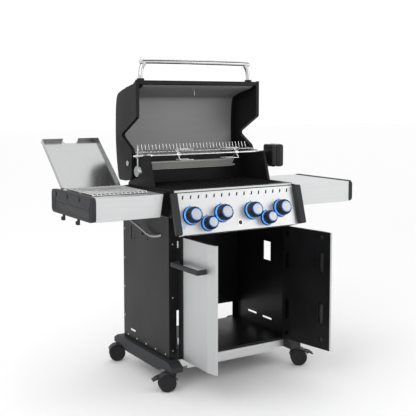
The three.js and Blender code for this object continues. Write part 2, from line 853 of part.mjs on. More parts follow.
piece('warming_rack', join(...carriers, ...rackFeet, ...rackTies, ...wires), 'chrome');

// ---------------------------------------------------------------- control panel
const ventCount = 15;
const ventSpan = 581; // first slot to last
const ventFoot = -26; // slot ends, up the slope
const ventHead = -10;
const ventWidth = 7;
const ventLean = 5; // how far the top of a slot leans to the right
const faceLine = [
  [-9, 0],
  [0, 0],
  [0, -panelLength],
  [-16, -panelLength - 3],
];
const panelSheet = prismX(
  folded(faceLine.map(([n, up]) => [up, n]), sheet),
  -panelHalf + fit,
  panelHalf - fit,
);
const bezels = knobs.map(({ x, s, size }) =>
  rod([x, -s, -1], [x, -s, knobBase - 1.5], bezelRadius * size, 20));
const vents = spread(-ventSpan / 2, ventSpan / 2, ventCount).map((x) => prismZ(
  [
    [x - ventLean / 2 - ventWidth / 2, ventFoot],
    [x - ventLean / 2 + ventWidth / 2, ventFoot],
    [x + ventLean / 2 + ventWidth / 2, ventHead],
    [x + ventLean / 2 - ventWidth / 2, ventHead],
  ],
  -1,
  sheet + 1,
));
const stemHoles = knobs.map(({ x, s }) =>
  rod([x, -s, -sheet - 2], [x, -s, knobBase + 1], stemRadius + boreFit + 1, 10));
const buttonHole = rod(
  [buttonPlace.x, -buttonPlace.s, -sheet - 2],
  [buttonPlace.x, -buttonPlace.s, 4],
  buttonPlace.radius + boreFit,
  24,
);
piece(
  'control_panel',
  cut(join(panelSheet, ...bezels), ...vents, ...stemHoles, buttonHole),
  'stainless',
  panel,
);

// Moulded cap at each end of the panel, chamfered towards the shelf.
const capFace = 25;
const capProud = 6;
const capChamfer = 11; // how far the bevelled side runs out beyond the face
const capBack = 28; // below the panel face
for (const [name, side] of Object.entries(sides)) {
  const at = (x) => side * (panelHalf + fit + x);
  const plan = [
    [at(0), -capBack],
    [at(0), capProud],
    [at(capFace), capProud],
    [at(capFace + capChamfer), -capBack],
  ];
  const turn = new THREE.Matrix4().makeRotationX(Math.PI / 2);
  const cap = prismZ(plan.map(([x, n]) => [x, -n]), -2, panelLength + 2).applyMatrix4(turn);
  piece(`panel_cap_${name}`, cap, 'blackPlastic', panel);
}

// Knob turned about the panel's normal, with a stem socket.
function knobBody(size) {
  const socket = stemRadius + boreFit;
  return turned([
    [0, knobSocket],
    [socket, knobSocket],
    [socket, knobBase],
    [38 * size, knobBase],
    [38 * size, knobBase + 25],
    [35 * size, knobBase + 38],
    [26 * size, knobBase + 43],
    [24 * size, knobHeight - 1],
    [22.5 * size, knobHeight],
    [0, knobHeight],
  ], 18);
}
for (const { name, x, s, size } of knobs) {
  piece(`knob_${name}`, knobBody(size), 'blackPlastic', groupAt(x, -s, 0, panel));
}
piece(
  'ignition_button',
  turned([
    [0, -12],
    [buttonPlace.radius, -12],
    [buttonPlace.radius, 5],
    [buttonPlace.radius - 2, 7],
    [0, 7],
  ], 24),
  'blackPlastic',
  groupAt(buttonPlace.x, -buttonPlace.s, 0, panel),
);

// ---------------------------------------------------------------- side shelves
// Hollow pressed tray, open underneath; the inner end slants in towards the bottom.
function shelfShell(side) {
  const front = [
    [side * shelfOuter, shelfBottom],
    [side * shelfInnerBottom, shelfBottom],
    [side * shelfInnerTop, shelfTop],
    [side * shelfOuter, shelfTop],
  ];
  const hollow = [
    [side * (shelfOuter - sheet), shelfBottom - 1],
    [side * (shelfInnerBottom + sheet), shelfBottom - 1],
    [side * (shelfInnerTop + sheet + 1), shelfTop - sheet],
    [side * (shelfOuter - sheet), shelfTop - sheet],
  ];
  return cut(prismY(front, 0, shelfDepth), prismY(hollow, sheet, shelfDepth - sheet));
}

const { x0, x1, y0, y1 } = sideBurner;
const burnerOpening = box(x0, x1, y0, y1, shelfTop - 10, shelfTop + 10);
piece('left_shelf', cut(shelfShell(sides.left), burnerOpening), 'stainless');
piece('right_shelf', shelfShell(sides.right), 'stainless');

const capCentreY = shelfDepth / 2;
function endCapBlock(side) {
  const height = 107;
  const shape = roundedRectangle(capCentreY, shelfTop - height / 2 + 4, shelfDepth + 8, height, 22);
  return prismX(shape, side * (shelfOuter + fit), side * capOuter, 5);
}
const capHoles = [390, 259, 122].map((y) =>
  rod([-capOuter - 1, y, shelfTop - 16], [-shelfOuter + 2, y, shelfTop - 16], 8, 14));
const capHooks = [323, 155].map((y) =>
  prismX(
    folded([[y, shelfBottom + 20], [y, shelfBottom - 24], [y + 14, shelfBottom - 24], [y + 14, shelfBottom - 12]], 4),
    -capOuter,
    -capOuter + 14,
  ));
piece('left_end_cap', cut(join(endCapBlock(sides.left), ...capHooks), ...capHoles), 'blackPlastic');
piece('right_end_cap', endCapBlock(sides.right), 'blackPlastic');

// Side burner: dished pan hung in the opening, with the burner head and its inlet in the middle.
const panDepth = 44;
const burnerCentre = [(x0 + x1) / 2, (y0 + y1) / 2];
const panOuter = box(x0 + 1, x1 - 1, y0 + 1, y1 - 1, shelfTop - panDepth, shelfTop - 1);
const panInner = box(x0 + 3, x1 - 3, y0 + 3, y1 - 3, shelfTop - panDepth + 2, shelfTop);
const burnerHead = rod([...burnerCentre, shelfTop - panDepth], [...burnerCentre, shelfTop - 14], 44, 28);
const inletPoint = [x1 - 30, 332, shelfTop - panDepth - 16];
const inlet = join(
  rod([...burnerCentre, shelfTop - panDepth - 16], [...burnerCentre, shelfTop - panDepth + 4], 16, 16),
  rod([...burnerCentre, inletPoint[2]], inletPoint, 7, 10),
);
piece('side_burner', join(cut(panOuter, panInner), burnerHead, inlet), 'stainless');

// Chrome rod grate over the side burner.
const grateTop = shelfTop + 11;
const grateInset = 8;
const grateRods = spread(x0 + grateInset + 6, x1 - grateInset - 6, 11).map((x) =>
  box(x - 3, x + 3, y0 + grateInset, y1 - grateInset, grateTop - 6, grateTop));
const grateCross = [y0 + 14, (y0 + y1) / 2, y1 - 20].map((y) =>
  box(x0 + grateInset, x1 - grateInset, y, y + 6, shelfTop - 12, grateTop - 4));
const grateLegs = [x0 + grateInset, x1 - grateInset - 6].flatMap((x) => [y0 + 14, y1 - 20].map((y) =>
  box(x, x + 6, y, y + 6, shelfTop - panDepth + 2 + fit, grateTop - 4)));
piece('side_burner_grate', join(...grateCross, ...grateRods, ...grateLegs), 'chrome');

// Lid of the side burner: shallow tray that hinges at its back edge, built closed along -Y.
const sideHinge = { y: y1 + 8, z: shelfTop + 9 };
const sideLidRise = 12; // plate above the hinge axis when shut
const sideLidLength = sideHinge.y - y0 + 8;
const sideLid = groupAt(0, sideHinge.y, sideHinge.z);
sideLid.rotation.x = -THREE.MathUtils.degToRad(sideLidOpen);
const lidX = [x0 - 5, x1 + 5];
const trayOuter = box(...lidX, -sideLidLength, -6, sideLidRise - sideLidDepth, sideLidRise);
const trayInner = box(
  lidX[0] + 2, lidX[1] - 2,
  -sideLidLength + 2, 0,
  sideLidRise - sideLidDepth - 1, sideLidRise - 2,
);
const lidEars = lidX.flatMap((x, i) => {
  const ear = [x + (i ? -12 : 0), x + (i ? 0 : 12)];
  return [
    box(...ear, -8, -2, -3, sideLidRise),
    rod([ear[0], 0, 0], [ear[1], 0, 0], 4, 10),
  ];
});
const gripHalf = 42; // finger notch in the front lip
const gripDepth = 16;
const gripMiddle = (lidX[0] + lidX[1]) / 2;
const grip = prismZ(
  [
    [gripMiddle - gripHalf, -sideLidLength - 1],
    [gripMiddle + gripHalf, -sideLidLength - 1],
    [gripMiddle + gripHalf - gripDepth, -sideLidLength + gripDepth],
    [gripMiddle - gripHalf + gripDepth, -sideLidLength + gripDepth],
  ],
  sideLidRise - sideLidDepth - 1,
  sideLidRise + 1,
);
piece('side_burner_lid', join(cut(trayOuter, trayInner, grip), ...lidEars), 'stainless', sideLid);

// ---------------------------------------------------------------- lid
// Built shut, with its origin on the hinge axis.
const lid = groupAt(0, hingeY, hingeZ);
lid.rotation.x = -THREE.MathUtils.degToRad(lidOpen);
const lidEdge = rimHeight + lidRimGap; // lower edge of the shut lid
const lidRim = lidEdge - hingeZ;
const shutLine = [
  [4, lidEdge],
  [23, 936],
  [39, 1008],
  [62, 1083],
  [80, 1109],
  [123, 1121],
  [197, 1126],
  [271, 1127],
  [336, 1123],
  [404, 1114],
  [472, 1100],
  [484, 1088],
  [484, 1024],
].map(([y, z]) => [y - hingeY, z - hingeZ]);

const lidShellHalf = fireboxHalf + 0.8;
const linerHalf = castingInner - linerSideGap;
const linerLine = folded(shutLine.slice(0, -1), linerInset + lidSkin).slice(shutLine.length - 1).reverse();
const belowLid = box(
  -linerHalf - 1, linerHalf + 1,
  -hingeY, 0,
  lidRim - 40, lidRim,
);
const probePlace = { y: 31 - hingeY, z: 974 - hingeZ };
const [frontLow, frontHigh] = shutLine.slice(1, 3);
const probeTilt = Math.atan2(frontHigh[0] - frontLow[0], frontHigh[1] - frontLow[1]);
const probeRadius = 6; // thick part, where it passes through both skins
const gaugeAxis = (distance) => [
  0,
  probePlace.y - distance * Math.cos(probeTilt),
  probePlace.z + distance * Math.sin(probeTilt),
];
const gaugeHole = rod(gaugeAxis(-40), gaugeAxis(20), probeRadius + boreFit, 16);
const lidSheet = prismX(folded(shutLine, lidSkin), -lidShellHalf, lidShellHalf);
piece('lid_shell', cut(lidSheet, gaugeHole), 'blackEnamel', lid);
piece(
  'lid_liner',
  cut(prismX(folded(linerLine, linerSheet), -linerHalf, linerHalf), gaugeHole, belowLid),
  'stainless',
  lid,
);

// Cast end cap, notched to clear the spit and the shoulder of the firebox.
const capLine = [
  [1, lidEdge],
  [20, 937],
  [36, 1009],
  [59, 1085],
  [78, 1112],
  [122, 1125],
  [197, 1130],
  [271, 1131],
  [336, 1127],
  [405, 1118],
  [475, 1103],
  [488, 1090],
  [488, 1024],
  [471, 959],
  [350, 954],
  [329, 966],
  [277, 1056],
  [269, 1062],
  [259, 1058],
  [184, 914],
  [176, lidEdge],
].map(([y, z]) => [y - hingeY, z - hingeZ]);
for (const [name, side] of Object.entries(sides)) {
  const inner = side * (lidShellHalf + fit);
  const outer = side * (lidShellHalf + fit + lidCapWidth);
  const pinHole = rod([inner - side, 0, 0], [outer + side, 0, 0], hingePinRadius + boreFit, 20);
  piece(`lid_cap_${name}`, cut(prismX(capLine, inner, outer), pinHole), 'blackCast', lid);
}

// Bent tube handle on two bosses at the front of the lid.
const handleZ = 944 - hingeZ;
const handleRun = 262;
const handleReach = -87 - hingeY;
const handleKnots = [
  [handleBossX, 14 - hingeY, handleZ],
  [310, -22 - hingeY, handleZ + 1],
  [306, -52 - hingeY, handleZ + 3],
  [292, -76 - hingeY, handleZ + 2],
  [handleRun, handleReach, handleZ],
];
const leftKnots = handleKnots.map(([x, y, z]) => [-x, y, z]);
const midKnots = spread(-handleRun / 2, handleRun / 2, 3).map((x) => [x, handleReach, handleZ]);
const bossFace = 34 - hingeY;
const lidInside = prismX(folded(shutLine, -fit).slice(shutLine.length), -lidShellHalf, lidShellHalf);
const bosses = Object.values(sides).map((side) =>
  rod(
    [side * handleBossX, bossFace, handleZ],
    [side * handleBossX, -6 - hingeY, handleZ],
    handleBossRadius,
    20,
  ));
piece(
  'lid_handle',
  cut(
    join(
      bentTube([...leftKnots, ...midKnots, ...handleKnots.slice().reverse()], tubeHandleRadius, 26, 10),
      ...bosses,
    ),
    lidInside,
  ),
  'chrome',
  lid,
);

// Thermometer: round dial on the front of the lid with a probe through both skins.
const gauge = turned([
  [0, -46],
  [probeRadius / 2, -44],
  [probeRadius / 2, -20],
  [probeRadius, -18],
  [probeRadius, fit],
  [dialRadius, fit],
  [dialRadius, dialDepth - 3],
  [dialRadius - 3, dialDepth],
  [0, dialDepth],
], 28);
gauge.rotateX(Math.PI / 2 - probeTilt);
gauge.translate(0, probePlace.y, probePlace.z);
piece('thermometer', gauge, 'stainless', lid);

// ---------------------------------------------------------------- spit
const motorGap = 22; // casting to the motor's face
const motor = { x0: fireboxHalf + motorGap, x1: fireboxHalf + motorGap + 72, y0: 188, y1: 280, z0: 967, z1: 1082 };
const spitLeft = -394;
const counterweightX = -371;
const motorSocket = rod(
  [motor.x0 - 1, spitY, spitZ],
  [motor.x0 + 22, spitY, spitZ],
  spitRadius + boreFit,
  16,
);
const motorBody = prismX(
  roundedRectangle((motor.y0 + motor.y1) / 2, (motor.z0 + motor.z1) / 2, 92, 115, 24),
  motor.x0,
  motor.x1,
  4,
);
const motorBracket = box(fireboxHalf + fit, motor.x0 + 1, 234, 276, 946, 982);
piece('rotisserie_motor', cut(join(motorBody, motorBracket), motorSocket), 'blackPlastic');

const spit = groupAt(0, spitY, spitZ);
const collarEnd = castingInner - 3;
piece(
  'spit_rod',
  join(
    rod([spitLeft, 0, 0], [motor.x0 + 20, 0, 0], spitRadius, 14),
    rod([-collarEnd, 0, 0], [-collarEnd + 22, 0, 0], spitRadius + 4, 14),
  ),
  'chrome',
  spit,
);

// Four-tine fork clamped on the spit, points towards the middle.
const tineSpread = 25;
const tineLength = 78;
const tineRadius = 2.5;
function spitFork(direction) {
  const hub = rod([-9, 0, 0], [9, 0, 0], 13, 16);
  const screw = rod([0, 0, 10], [0, 0, 30], 4, 8);
  const tines = [[1, 1], [1, -1], [-1, 1], [-1, -1]].flatMap(([a, b]) => {
    const corner = [a * tineSpread, b * tineSpread];
    return [
      rod([0, a * 7, b * 7], [0, ...corner], tineRadius, 6),
      rod([-direction * 2, ...corner], [direction * tineLength, ...corner], tineRadius, 6),
    ];
  });
  const bore = rod([-12, 0, 0], [12, 0, 0], spitRadius + fit, 14);
  return cut(join(hub, screw, ...tines), bore);
}
forkPositions.forEach((x, i) => {
  const name = i === 0 ? 'spit_fork_left' : 'spit_fork_right';
  piece(name, spitFork(i === 0 ? 1 : -1), 'chrome', groupAt(x, 0, 0, spit));
});
const weightDrop = 72; // spit axis to the middle of the weight
piece(
  'counterweight',
  cut(
    join(
      rod([0, 0, 44], [0, 0, -weightDrop - 6], 3.5, 10),
      rod([-8, 0, -weightDrop], [8, 0, -weightDrop], 25, 24),
      rod([-6, 0, 0], [6, 0, 0], 11, 16),
    ),
    rod([-12, 0, 0], [12, 0, 0], spitRadius + fit, 20),
  ),
  'galvanised',
  groupAt(counterweightX, 0, 0, spit),
);

// ---------------------------------------------------------------- side burner hose
// From the side burner's inlet, down past the shelf, through the side panel to the gas manifold.
const hoseRoute = [
  [inletPoint[0] + 6, inletPoint[1], inletPoint[2]],
  [inletPoint[0] + 15, inletPoint[1], inletPoint[2]],
  [-414, 330, 818],
  [-410, 328, 784],
  [-390, 312, 744],
  [-366, 262, 712],
  [-362, 205, 692],
  [-360, 158, 684],
  [-352, 124, 686],
  [-338, hoseEntry.y, hoseEntry.z],
  [-322, 92, 700],
  [-310, 66, 728],
  [-306, 34, 758],
];
piece('side_burner_hose', bentTube(hoseRoute, hoseRadius, 30, 8), 'greyRubber');

// ---------------------------------------------------------------- origin
// The origin is the middle of the grill's footprint, on the floor.
grill.updateMatrixWorld(true);
const bounds = new THREE.Box3().setFromObject(grill, true);
const middle = bounds.getCenter(new THREE.Vector3());
const part = new THREE.Group();
grill.position.set(-middle.x, -middle.y, -bounds.min.z);
part.add(grill);

export default part;
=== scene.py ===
# Gas barbecue grill on its cart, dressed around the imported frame. Metres, +Z up.
import math

import bmesh
import bpy
from mathutils import Matrix, Vector
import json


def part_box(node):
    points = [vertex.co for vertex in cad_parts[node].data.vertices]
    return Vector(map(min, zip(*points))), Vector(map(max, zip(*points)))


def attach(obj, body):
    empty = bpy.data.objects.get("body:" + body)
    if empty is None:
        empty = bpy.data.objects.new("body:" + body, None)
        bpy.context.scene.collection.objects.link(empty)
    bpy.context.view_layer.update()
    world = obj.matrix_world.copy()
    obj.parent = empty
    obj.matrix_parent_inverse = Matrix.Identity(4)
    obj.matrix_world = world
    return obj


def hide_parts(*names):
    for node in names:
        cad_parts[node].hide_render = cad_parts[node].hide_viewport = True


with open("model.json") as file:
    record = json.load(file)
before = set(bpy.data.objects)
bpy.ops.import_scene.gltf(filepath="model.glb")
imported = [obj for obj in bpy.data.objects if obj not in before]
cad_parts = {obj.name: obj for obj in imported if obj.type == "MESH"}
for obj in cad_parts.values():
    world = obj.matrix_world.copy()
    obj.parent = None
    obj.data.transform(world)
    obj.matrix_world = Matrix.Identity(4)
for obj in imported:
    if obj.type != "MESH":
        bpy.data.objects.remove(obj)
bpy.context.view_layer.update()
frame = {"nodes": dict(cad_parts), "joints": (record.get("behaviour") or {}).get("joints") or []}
nodes = frame["nodes"]

# ---------------------------------------------------------------- camera
# The viewer stands off the front left corner, a little above the cooking height,
# with a long lens, so the upright edges stay nearly parallel.
camera_data = bpy.data.cameras.new("viewer")
camera_data.lens = 69.95
camera_data.sensor_width = 36
camera_data.shift_x = -0.0107
camera_data.shift_y = -0.0962
camera = bpy.data.objects.new("viewer", camera_data)
shelf_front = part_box("left_shelf")[0][1]
camera.location = (-2.0837, shelf_front - 3.1104, 1.3069)
camera.rotation_euler = (math.radians(90 - 4.81), 0, math.radians(-32.22))
bpy.context.collection.objects.link(camera)
bpy.context.scene.camera = camera


# ---------------------------------------------------------------- studio
# A pale floor that runs out to the horizon, three large soft boxes, an even white surround, and
# a black card up to the right for the bright steel to reflect.
def mesh_object(name, bm, smooth_angle=None):
    """Finished mesh from a bmesh, at the origin, with outward faces."""
    mesh = bpy.data.meshes.new(name)
    bmesh.ops.recalc_face_normals(bm, faces=bm.faces)
    bm.to_mesh(mesh)
    bm.free()
    if smooth_angle:
        mesh.shade_smooth()
        mesh.set_sharp_from_angle(angle=math.radians(smooth_angle))
    obj = bpy.data.objects.new(name, mesh)
    bpy.context.collection.objects.link(obj)
    return obj


def new_material(name):
    """Empty node material: its tree and its Principled shader."""
    material = bpy.data.materials.new(name)
    material.use_nodes = True
    return material, material.node_tree, material.node_tree.nodes["Principled BSDF"]


floor_bm = bmesh.new()
bmesh.ops.create_grid(floor_bm, x_segments=1, y_segments=1, size=30)
floor = mesh_object("studio_floor", floor_bm)
floor_material, _, floor_shader = new_material("pale_floor")
floor_shader.inputs["Base Color"].default_value = (0.93, 0.93, 0.93, 1)
floor_shader.inputs["Roughness"].default_value = 0.75
floor.data.materials.append(floor_material)


def softbox(name, place, target, width, height, power):
    light = bpy.data.lights.new(name, "AREA")
    light.shape = "RECTANGLE"
    light.size = width
    light.size_y = height
    light.energy = power
    obj = bpy.data.objects.new(name, light)
    obj.location = place
    aim = Vector(target) - Vector(place)
    obj.rotation_euler = aim.to_track_quat("-Z", "Y").to_euler()
    bpy.context.collection.objects.link(obj)


CARD_MIDDLE = Vector((3.0, -2.3, 4.1))
CARD_SPAN = Vector((4.4, 2.2, 2.2))  # across, forward, and up as it tilts back
softbox("key_box", (-3.6, -2.2, 3.4), (0, 0, 0.8), 2.6, 2.6, 45)
black_card, _, card_shader = new_material("black_card")
card_shader.inputs["Base Color"].default_value = (0.01, 0.01, 0.01, 1)
card_shader.inputs["Roughness"].default_value = 0.9
card_bm = bmesh.new()
bmesh.ops.create_grid(card_bm, x_segments=1, y_segments=1, size=0.5)
card = mesh_object("black_card", card_bm)
for vert in card.data.vertices:
    vert.co = CARD_MIDDLE + CARD_SPAN * Vector((vert.co.x, vert.co.y, vert.co.y))
card.data.materials.append(black_card)
softbox("fill_box", (3.2, -3.2, 2.4), (0, 0, 0.8), 2.2, 2.2, 25)
softbox("top_box", (0, 0.4, 4.2), (0, 0, 0.6), 3.6, 3.0, 16)
world = bpy.data.worlds.new("white_surround")
world.use_nodes = True
world.node_tree.nodes["Background"].inputs["Color"].default_value = (1, 1, 1, 1)
world.node_tree.nodes["Background"].inputs["Strength"].default_value = 1.05
bpy.context.scene.world = world
bpy.context.scene.view_settings.view_transform = "Standard"


# ---------------------------------------------------------------- finishes shared from here on
# Sheet steel is brushed along X or up Z, and its across copy is painted lighter and its upright copy darker, as
# painted light and painted shade; the painted parts are baked enamel over steel, satin paint over castings, and
# grained nylon.
def coordinates(tree, scale):
    """Object coordinates stretched by scale."""
    source = tree.nodes.new("ShaderNodeTexCoord")
    mapping = tree.nodes.new("ShaderNodeMapping")
    mapping.inputs["Scale"].default_value = scale
    tree.links.new(source.outputs["Object"], mapping.inputs["Vector"])
    return mapping.outputs["Vector"]


def noise(tree, vector, scale, detail=4.0, roughness=0.5):
    node = tree.nodes.new("ShaderNodeTexNoise")
    node.inputs["Scale"].default_value = scale
    node.inputs["Detail"].default_value = detail
    node.inputs["Roughness"].default_value = roughness
    tree.links.new(vector, node.inputs["Vector"])
    return node.outputs["Fac"]


def spread(tree, value, low, high):
    """Stretches a noise value to the range low to high."""
    node = tree.nodes.new("ShaderNodeMapRange")
    node.inputs["From Min"].default_value = 0.3
    node.inputs["From Max"].default_value = 0.7
    node.inputs["To Min"].default_value = low
    node.inputs["To Max"].default_value = high
    tree.links.new(value, node.inputs["Value"])
    return node.outputs["Result"]


def tinted(tree, value, dark, light):
    """Colour that runs from dark to light with a noise value."""
    ramp = tree.nodes.new("ShaderNodeValToRGB")
    ramp.color_ramp.elements[0].position = 0.3
    ramp.color_ramp.elements[1].position = 0.7
    ramp.color_ramp.elements[0].color = (*dark, 1)
    ramp.color_ramp.elements[1].color = (*light, 1)
    tree.links.new(value, ramp.inputs["Fac"])
    return ramp.outputs["Color"]


def bumped(tree, shader, value, strength, distance):
    node = tree.nodes.new("ShaderNodeBump")
    node.inputs["Strength"].default_value = strength
    node.inputs["Distance"].default_value = distance
    tree.links.new(value, node.inputs["Height"])
    tree.links.new(node.outputs["Normal"], shader.inputs["Normal"])


def brushed_steel(name, grain, dark, light, rough, metal=1.0):
    """Stainless sheet with fine scratches along one direction and faint wiping marks."""
    material, tree, shader = new_material(name)
    shader.inputs["Metallic"].default_value = metal
    scratches = noise(tree, coordinates(tree, grain), 3.0, 5.0, 0.7)
    wipes = noise(tree, coordinates(tree, (1, 1, 1)), 2.6, 3.0)
    tree.links.new(tinted(tree, scratches, dark, light), shader.inputs["Base Color"])
    mixed = tree.nodes.new("ShaderNodeMath")
    mixed.operation = "ADD"
    tree.links.new(spread(tree, scratches, rough - 0.04, rough + 0.06), mixed.inputs[0])
    tree.links.new(spread(tree, wipes, -0.03, 0.05), mixed.inputs[1])
    tree.links.new(mixed.outputs["Value"], shader.inputs["Roughness"])
    bumped(tree, shader, scratches, 0.12, 0.0002)
    return material


def painted(name, dark, light, rough, grain_scale, depth, gloss=0.0):
    """Paint, enamel or moulded nylon: slight patchiness, a fine skin texture and dusty wear."""
    material, tree, shader = new_material(name)
    place = coordinates(tree, (1, 1, 1))
    patches = noise(tree, place, 5.0, 4.0)
    skin = noise(tree, place, grain_scale, 3.0, 0.6)
    tree.links.new(tinted(tree, patches, dark, light), shader.inputs["Base Color"])
    tree.links.new(spread(tree, patches, rough - 0.05, rough + 0.07), shader.inputs["Roughness"])
    shader.inputs["Coat Weight"].default_value = gloss
    shader.inputs["Specular IOR Level"].default_value = 0.22
    shader.inputs["Coat Roughness"].default_value = 0.18
    bumped(tree, shader, skin, 0.3, depth)
    return material


ACROSS, UPRIGHT = (1.2, 160, 160), (160, 160, 1.2)  # grain of the brushing, fine on two axes
# Two copies of one stainless: the across copy is painted lighter as painted light on the shelf tops and fascia,
# and the upright copy darker as painted shade on the door faces.
steel_across_lit = brushed_steel("steel_brushed_across_lit", ACROSS, (0.62, 0.625, 0.63), (0.7, 0.705, 0.71), 0.42)
steel_upright_shaded = brushed_steel("steel_brushed_upright_shaded", UPRIGHT, (0.5, 0.505, 0.51), (0.57, 0.575, 0.58), 0.42)
steel_dull = brushed_steel("steel_mill_finish", (30, 4, 30), (0.3, 0.295, 0.285), (0.45, 0.44, 0.42), 0.42)
enamel = painted("black_enamel", (0.004, 0.004, 0.0045), (0.008, 0.008, 0.009), 0.4, 420, 0.0003, 0.05)
cast_paint = painted("satin_cast_paint", (0.005, 0.005, 0.0055), (0.009, 0.009, 0.01), 0.5, 700, 0.0006)
moulding = painted("moulded_nylon", (0.022, 0.023, 0.025), (0.034, 0.035, 0.038), 0.55, 1100, 0.0004)
dark_moulding = painted("dark_nylon", (0.01, 0.01, 0.011), (0.018, 0.018, 0.02), 0.5, 1200, 0.0003)
chrome = brushed_steel("polished_chrome", (6, 6, 6), (0.82, 0.83, 0.84), (0.9, 0.905, 0.91), 0.1)
zinc = brushed_steel("dull_zinc", (14, 14, 14), (0.5, 0.51, 0.52), (0.66, 0.67, 0.68), 0.4)
iron = painted("seasoned_iron", (0.007, 0.007, 0.008), (0.016, 0.015, 0.014), 0.62, 240, 0.0012)


def finish(material, *names):
    """Gives frame nodes their finish."""
    for name in names:
        nodes[name].data.materials.clear()
        nodes[name].data.materials.append(material)


# ---------------------------------------------------------------- cart sheet metal
# Side panels, rear panel, floor and firebox trough are folded steel sheet, baked black.
finish(enamel, "side_panel_left", "side_panel_right", "rear_panel", "cabinet_floor", "firebox_tub")
finish(cast_paint, "firebox_side_left", "firebox_side_right")
finish(steel_across_lit, "front_rail")
finish(zinc, "grease_tray")
finish(steel_dull, "burner_set", "heat_plates")
finish(iron, "cooking_grid_left", "cooking_grid_right")


def edge_softened(obj, width, segments=2, angle=35):
    """Rounds the sharp edges of a piece the way a folded or moulded edge is round."""
    bevel = obj.modifiers.new("edges", "BEVEL")
    bevel.width = width
    bevel.segments = segments
    bevel.limit_method = "ANGLE"
    bevel.angle_limit = math.radians(angle)
    obj.data.shade_smooth()
    evening = obj.modifiers.new("even_faces", "WEIGHTED_NORMAL")
    evening.weight = 100
    evening.keep_sharp = True
    bpy.context.view_layer.update()
    solid = obj.evaluated_get(bpy.context.evaluated_depsgraph_get())
    mesh = bpy.data.meshes.new_from_object(solid)
    obj.modifiers.clear()
    obj.data = mesh
    return obj


def dressed(obj, material, body):
    obj.data.materials.clear()
    obj.data.materials.append(material)
    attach(obj, body)
    return obj


def node_copy(node, name, flatten=True):
    """Merged copy of a frame node's mesh, in triangles joined back to flat faces."""
    bm = bmesh.new()
    bm.from_mesh(nodes[node].data)
    bmesh.ops.remove_doubles(bm, verts=bm.verts, dist=0.00002)
    if flatten:
        bmesh.ops.dissolve_limit(bm, angle_limit=math.radians(1.0), verts=bm.verts, edges=bm.edges)
    return mesh_object(name, bm)


def rounded_node(node, name, material, body, width, segments=2, smooth=40, flatten=True):
    """A frame node with its edges rounded off, standing for the plain one."""
    obj = node_copy(node, name, flatten)
    edge_softened(obj, width, segments, smooth)
    dressed(obj, material, body)
    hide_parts(node)
    return obj


# ---------------------------------------------------------------- base rails
# Hollow nylon mouldings that close the cart's foot and house the castor stems.
for hand in ("left", "right"):
    rounded_node(f"base_rail_{hand}", f"foot_rail_{hand}", moulding, "cart", 0.007, 3)

# ---------------------------------------------------------------- castors
# Twin-tread wheels under a nylon hood, each on a steel stem; the front pair have foot brakes.
tread = painted("tread_rubber", (0.012, 0.012, 0.012), (0.022, 0.022, 0.022), 0.75, 900, 0.0005)
CORNERS = ("front_left", "front_right", "rear_left", "rear_right")


def ring_mesh(bm, profile, centre, axis, steps=48):
    """Adds a closed turned solid: profile of (radius, height) points that starts and ends on the axis."""
    axis = Vector(axis).normalized()
    side = axis.orthogonal().normalized()
    other = axis.cross(side)
    centre = Vector(centre)
    rows = []
    for radius, height in profile:
        if radius < 1e-6:
            rows.append([bm.verts.new(centre + axis * height)])
            continue
        rows.append([
            bm.verts.new(
                centre + axis * height
                + side * (radius * math.cos(2 * math.pi * i / steps))
                + other * (radius * math.sin(2 * math.pi * i / steps))
            )
            for i in range(steps)
        ])
    for low, high in zip(rows, rows[1:]):
        for i in range(steps):
            j = (i + 1) % steps
            if len(low) == 1 and len(high) == 1:
                continue
            if len(low) == 1:
                bm.faces.new((low[0], high[j], high[i]))
            elif len(high) == 1:
                bm.faces.new((low[i], low[j], high[0]))
            else:
                bm.faces.new((low[i], low[j], high[j], high[i]))


def turned_piece(name, profile, centre, axis, steps=48, smooth=35):
    bm = bmesh.new()
    ring_mesh(bm, profile, centre, axis, steps)
    return mesh_object(name, bm, smooth)


def joint(name):
    return next(item for item in frame["joints"] if item["name"] == name)


for corner in CORNERS:
    roll = joint(f"roll_{corner}")
    centre, axis = Vector(roll["pos_m"]), Vector(roll["axis"])
    tread_rows = [
        (0, 0.0215), (0.008, 0.0215), (0.009, 0.019), (0.024, 0.0185), (0.027, 0.0215),
        (0.032, 0.0225),
        (0.0365, 0.0215), (0.039, 0.0195), (0.0399, 0.016), (0.0399, 0.0105), (0.0385, 0.0075),
        (0.034, 0.0062), (0.01, 0.0062),
    ]
    rows = tread_rows + [(radius, -height) for radius, height in reversed(tread_rows)]
    wheel = turned_piece(f"wheel_{corner}_tread", rows, centre, axis, 56)
    dressed(wheel, tread, f"wheel_{corner}")
    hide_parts(f"caster_wheel_{corner}")
    rounded_node(
        f"caster_fork_{corner}", f"hood_{corner}", moulding, f"caster_{corner}",
        0.0012, 2, 50,
    )
for corner in CORNERS[:2]:
    rounded_node(
        f"brake_lever_{corner}", f"brake_pedal_{corner}", moulding, f"brake_{corner}",
        0.0025, 3,
    )

# ---------------------------------------------------------------- side shelves
# Pressed stainless trays with moulded black rails at their outer ends.
for hand in ("left", "right"):
    rounded_node(f"{hand}_shelf", f"{hand}_shelf_tray", steel_across_lit, "cart", 0.0022, 3)
rounded_node("right_end_cap", "right_shelf_rail", moulding, "cart", 0.004, 3)
left_rail = rounded_node("left_end_cap", "left_shelf_rail", moulding, "cart", 0.003, 3)
RAIL_FACE = 0.7224  # the left rail's flat face, sunk a little behind its raised bands
for vert in left_rail.data.vertices:
    vert.co.x = max(vert.co.x, -RAIL_FACE)


def bar_piece(name, low, high, radius, segments=3):
    """Straight bar with rounded edges between two corners."""
    bm = bmesh.new()
    bmesh.ops.create_cube(bm, size=1)
    size = Vector(high) - Vector(low)
    middle = (Vector(high) + Vector(low)) / 2
    for vert in bm.verts:
        vert.co = Vector(vert.co[i] * size[i] for i in range(3)) + middle
    return edge_softened(mesh_object(name, bm), radius, segments)


def behind(x, y, z):
    """Place from millimetres: across, back from the shelf fronts, and up from the floor."""
    return Vector((x / 1000, shelf_front + y / 1000, z / 1000))


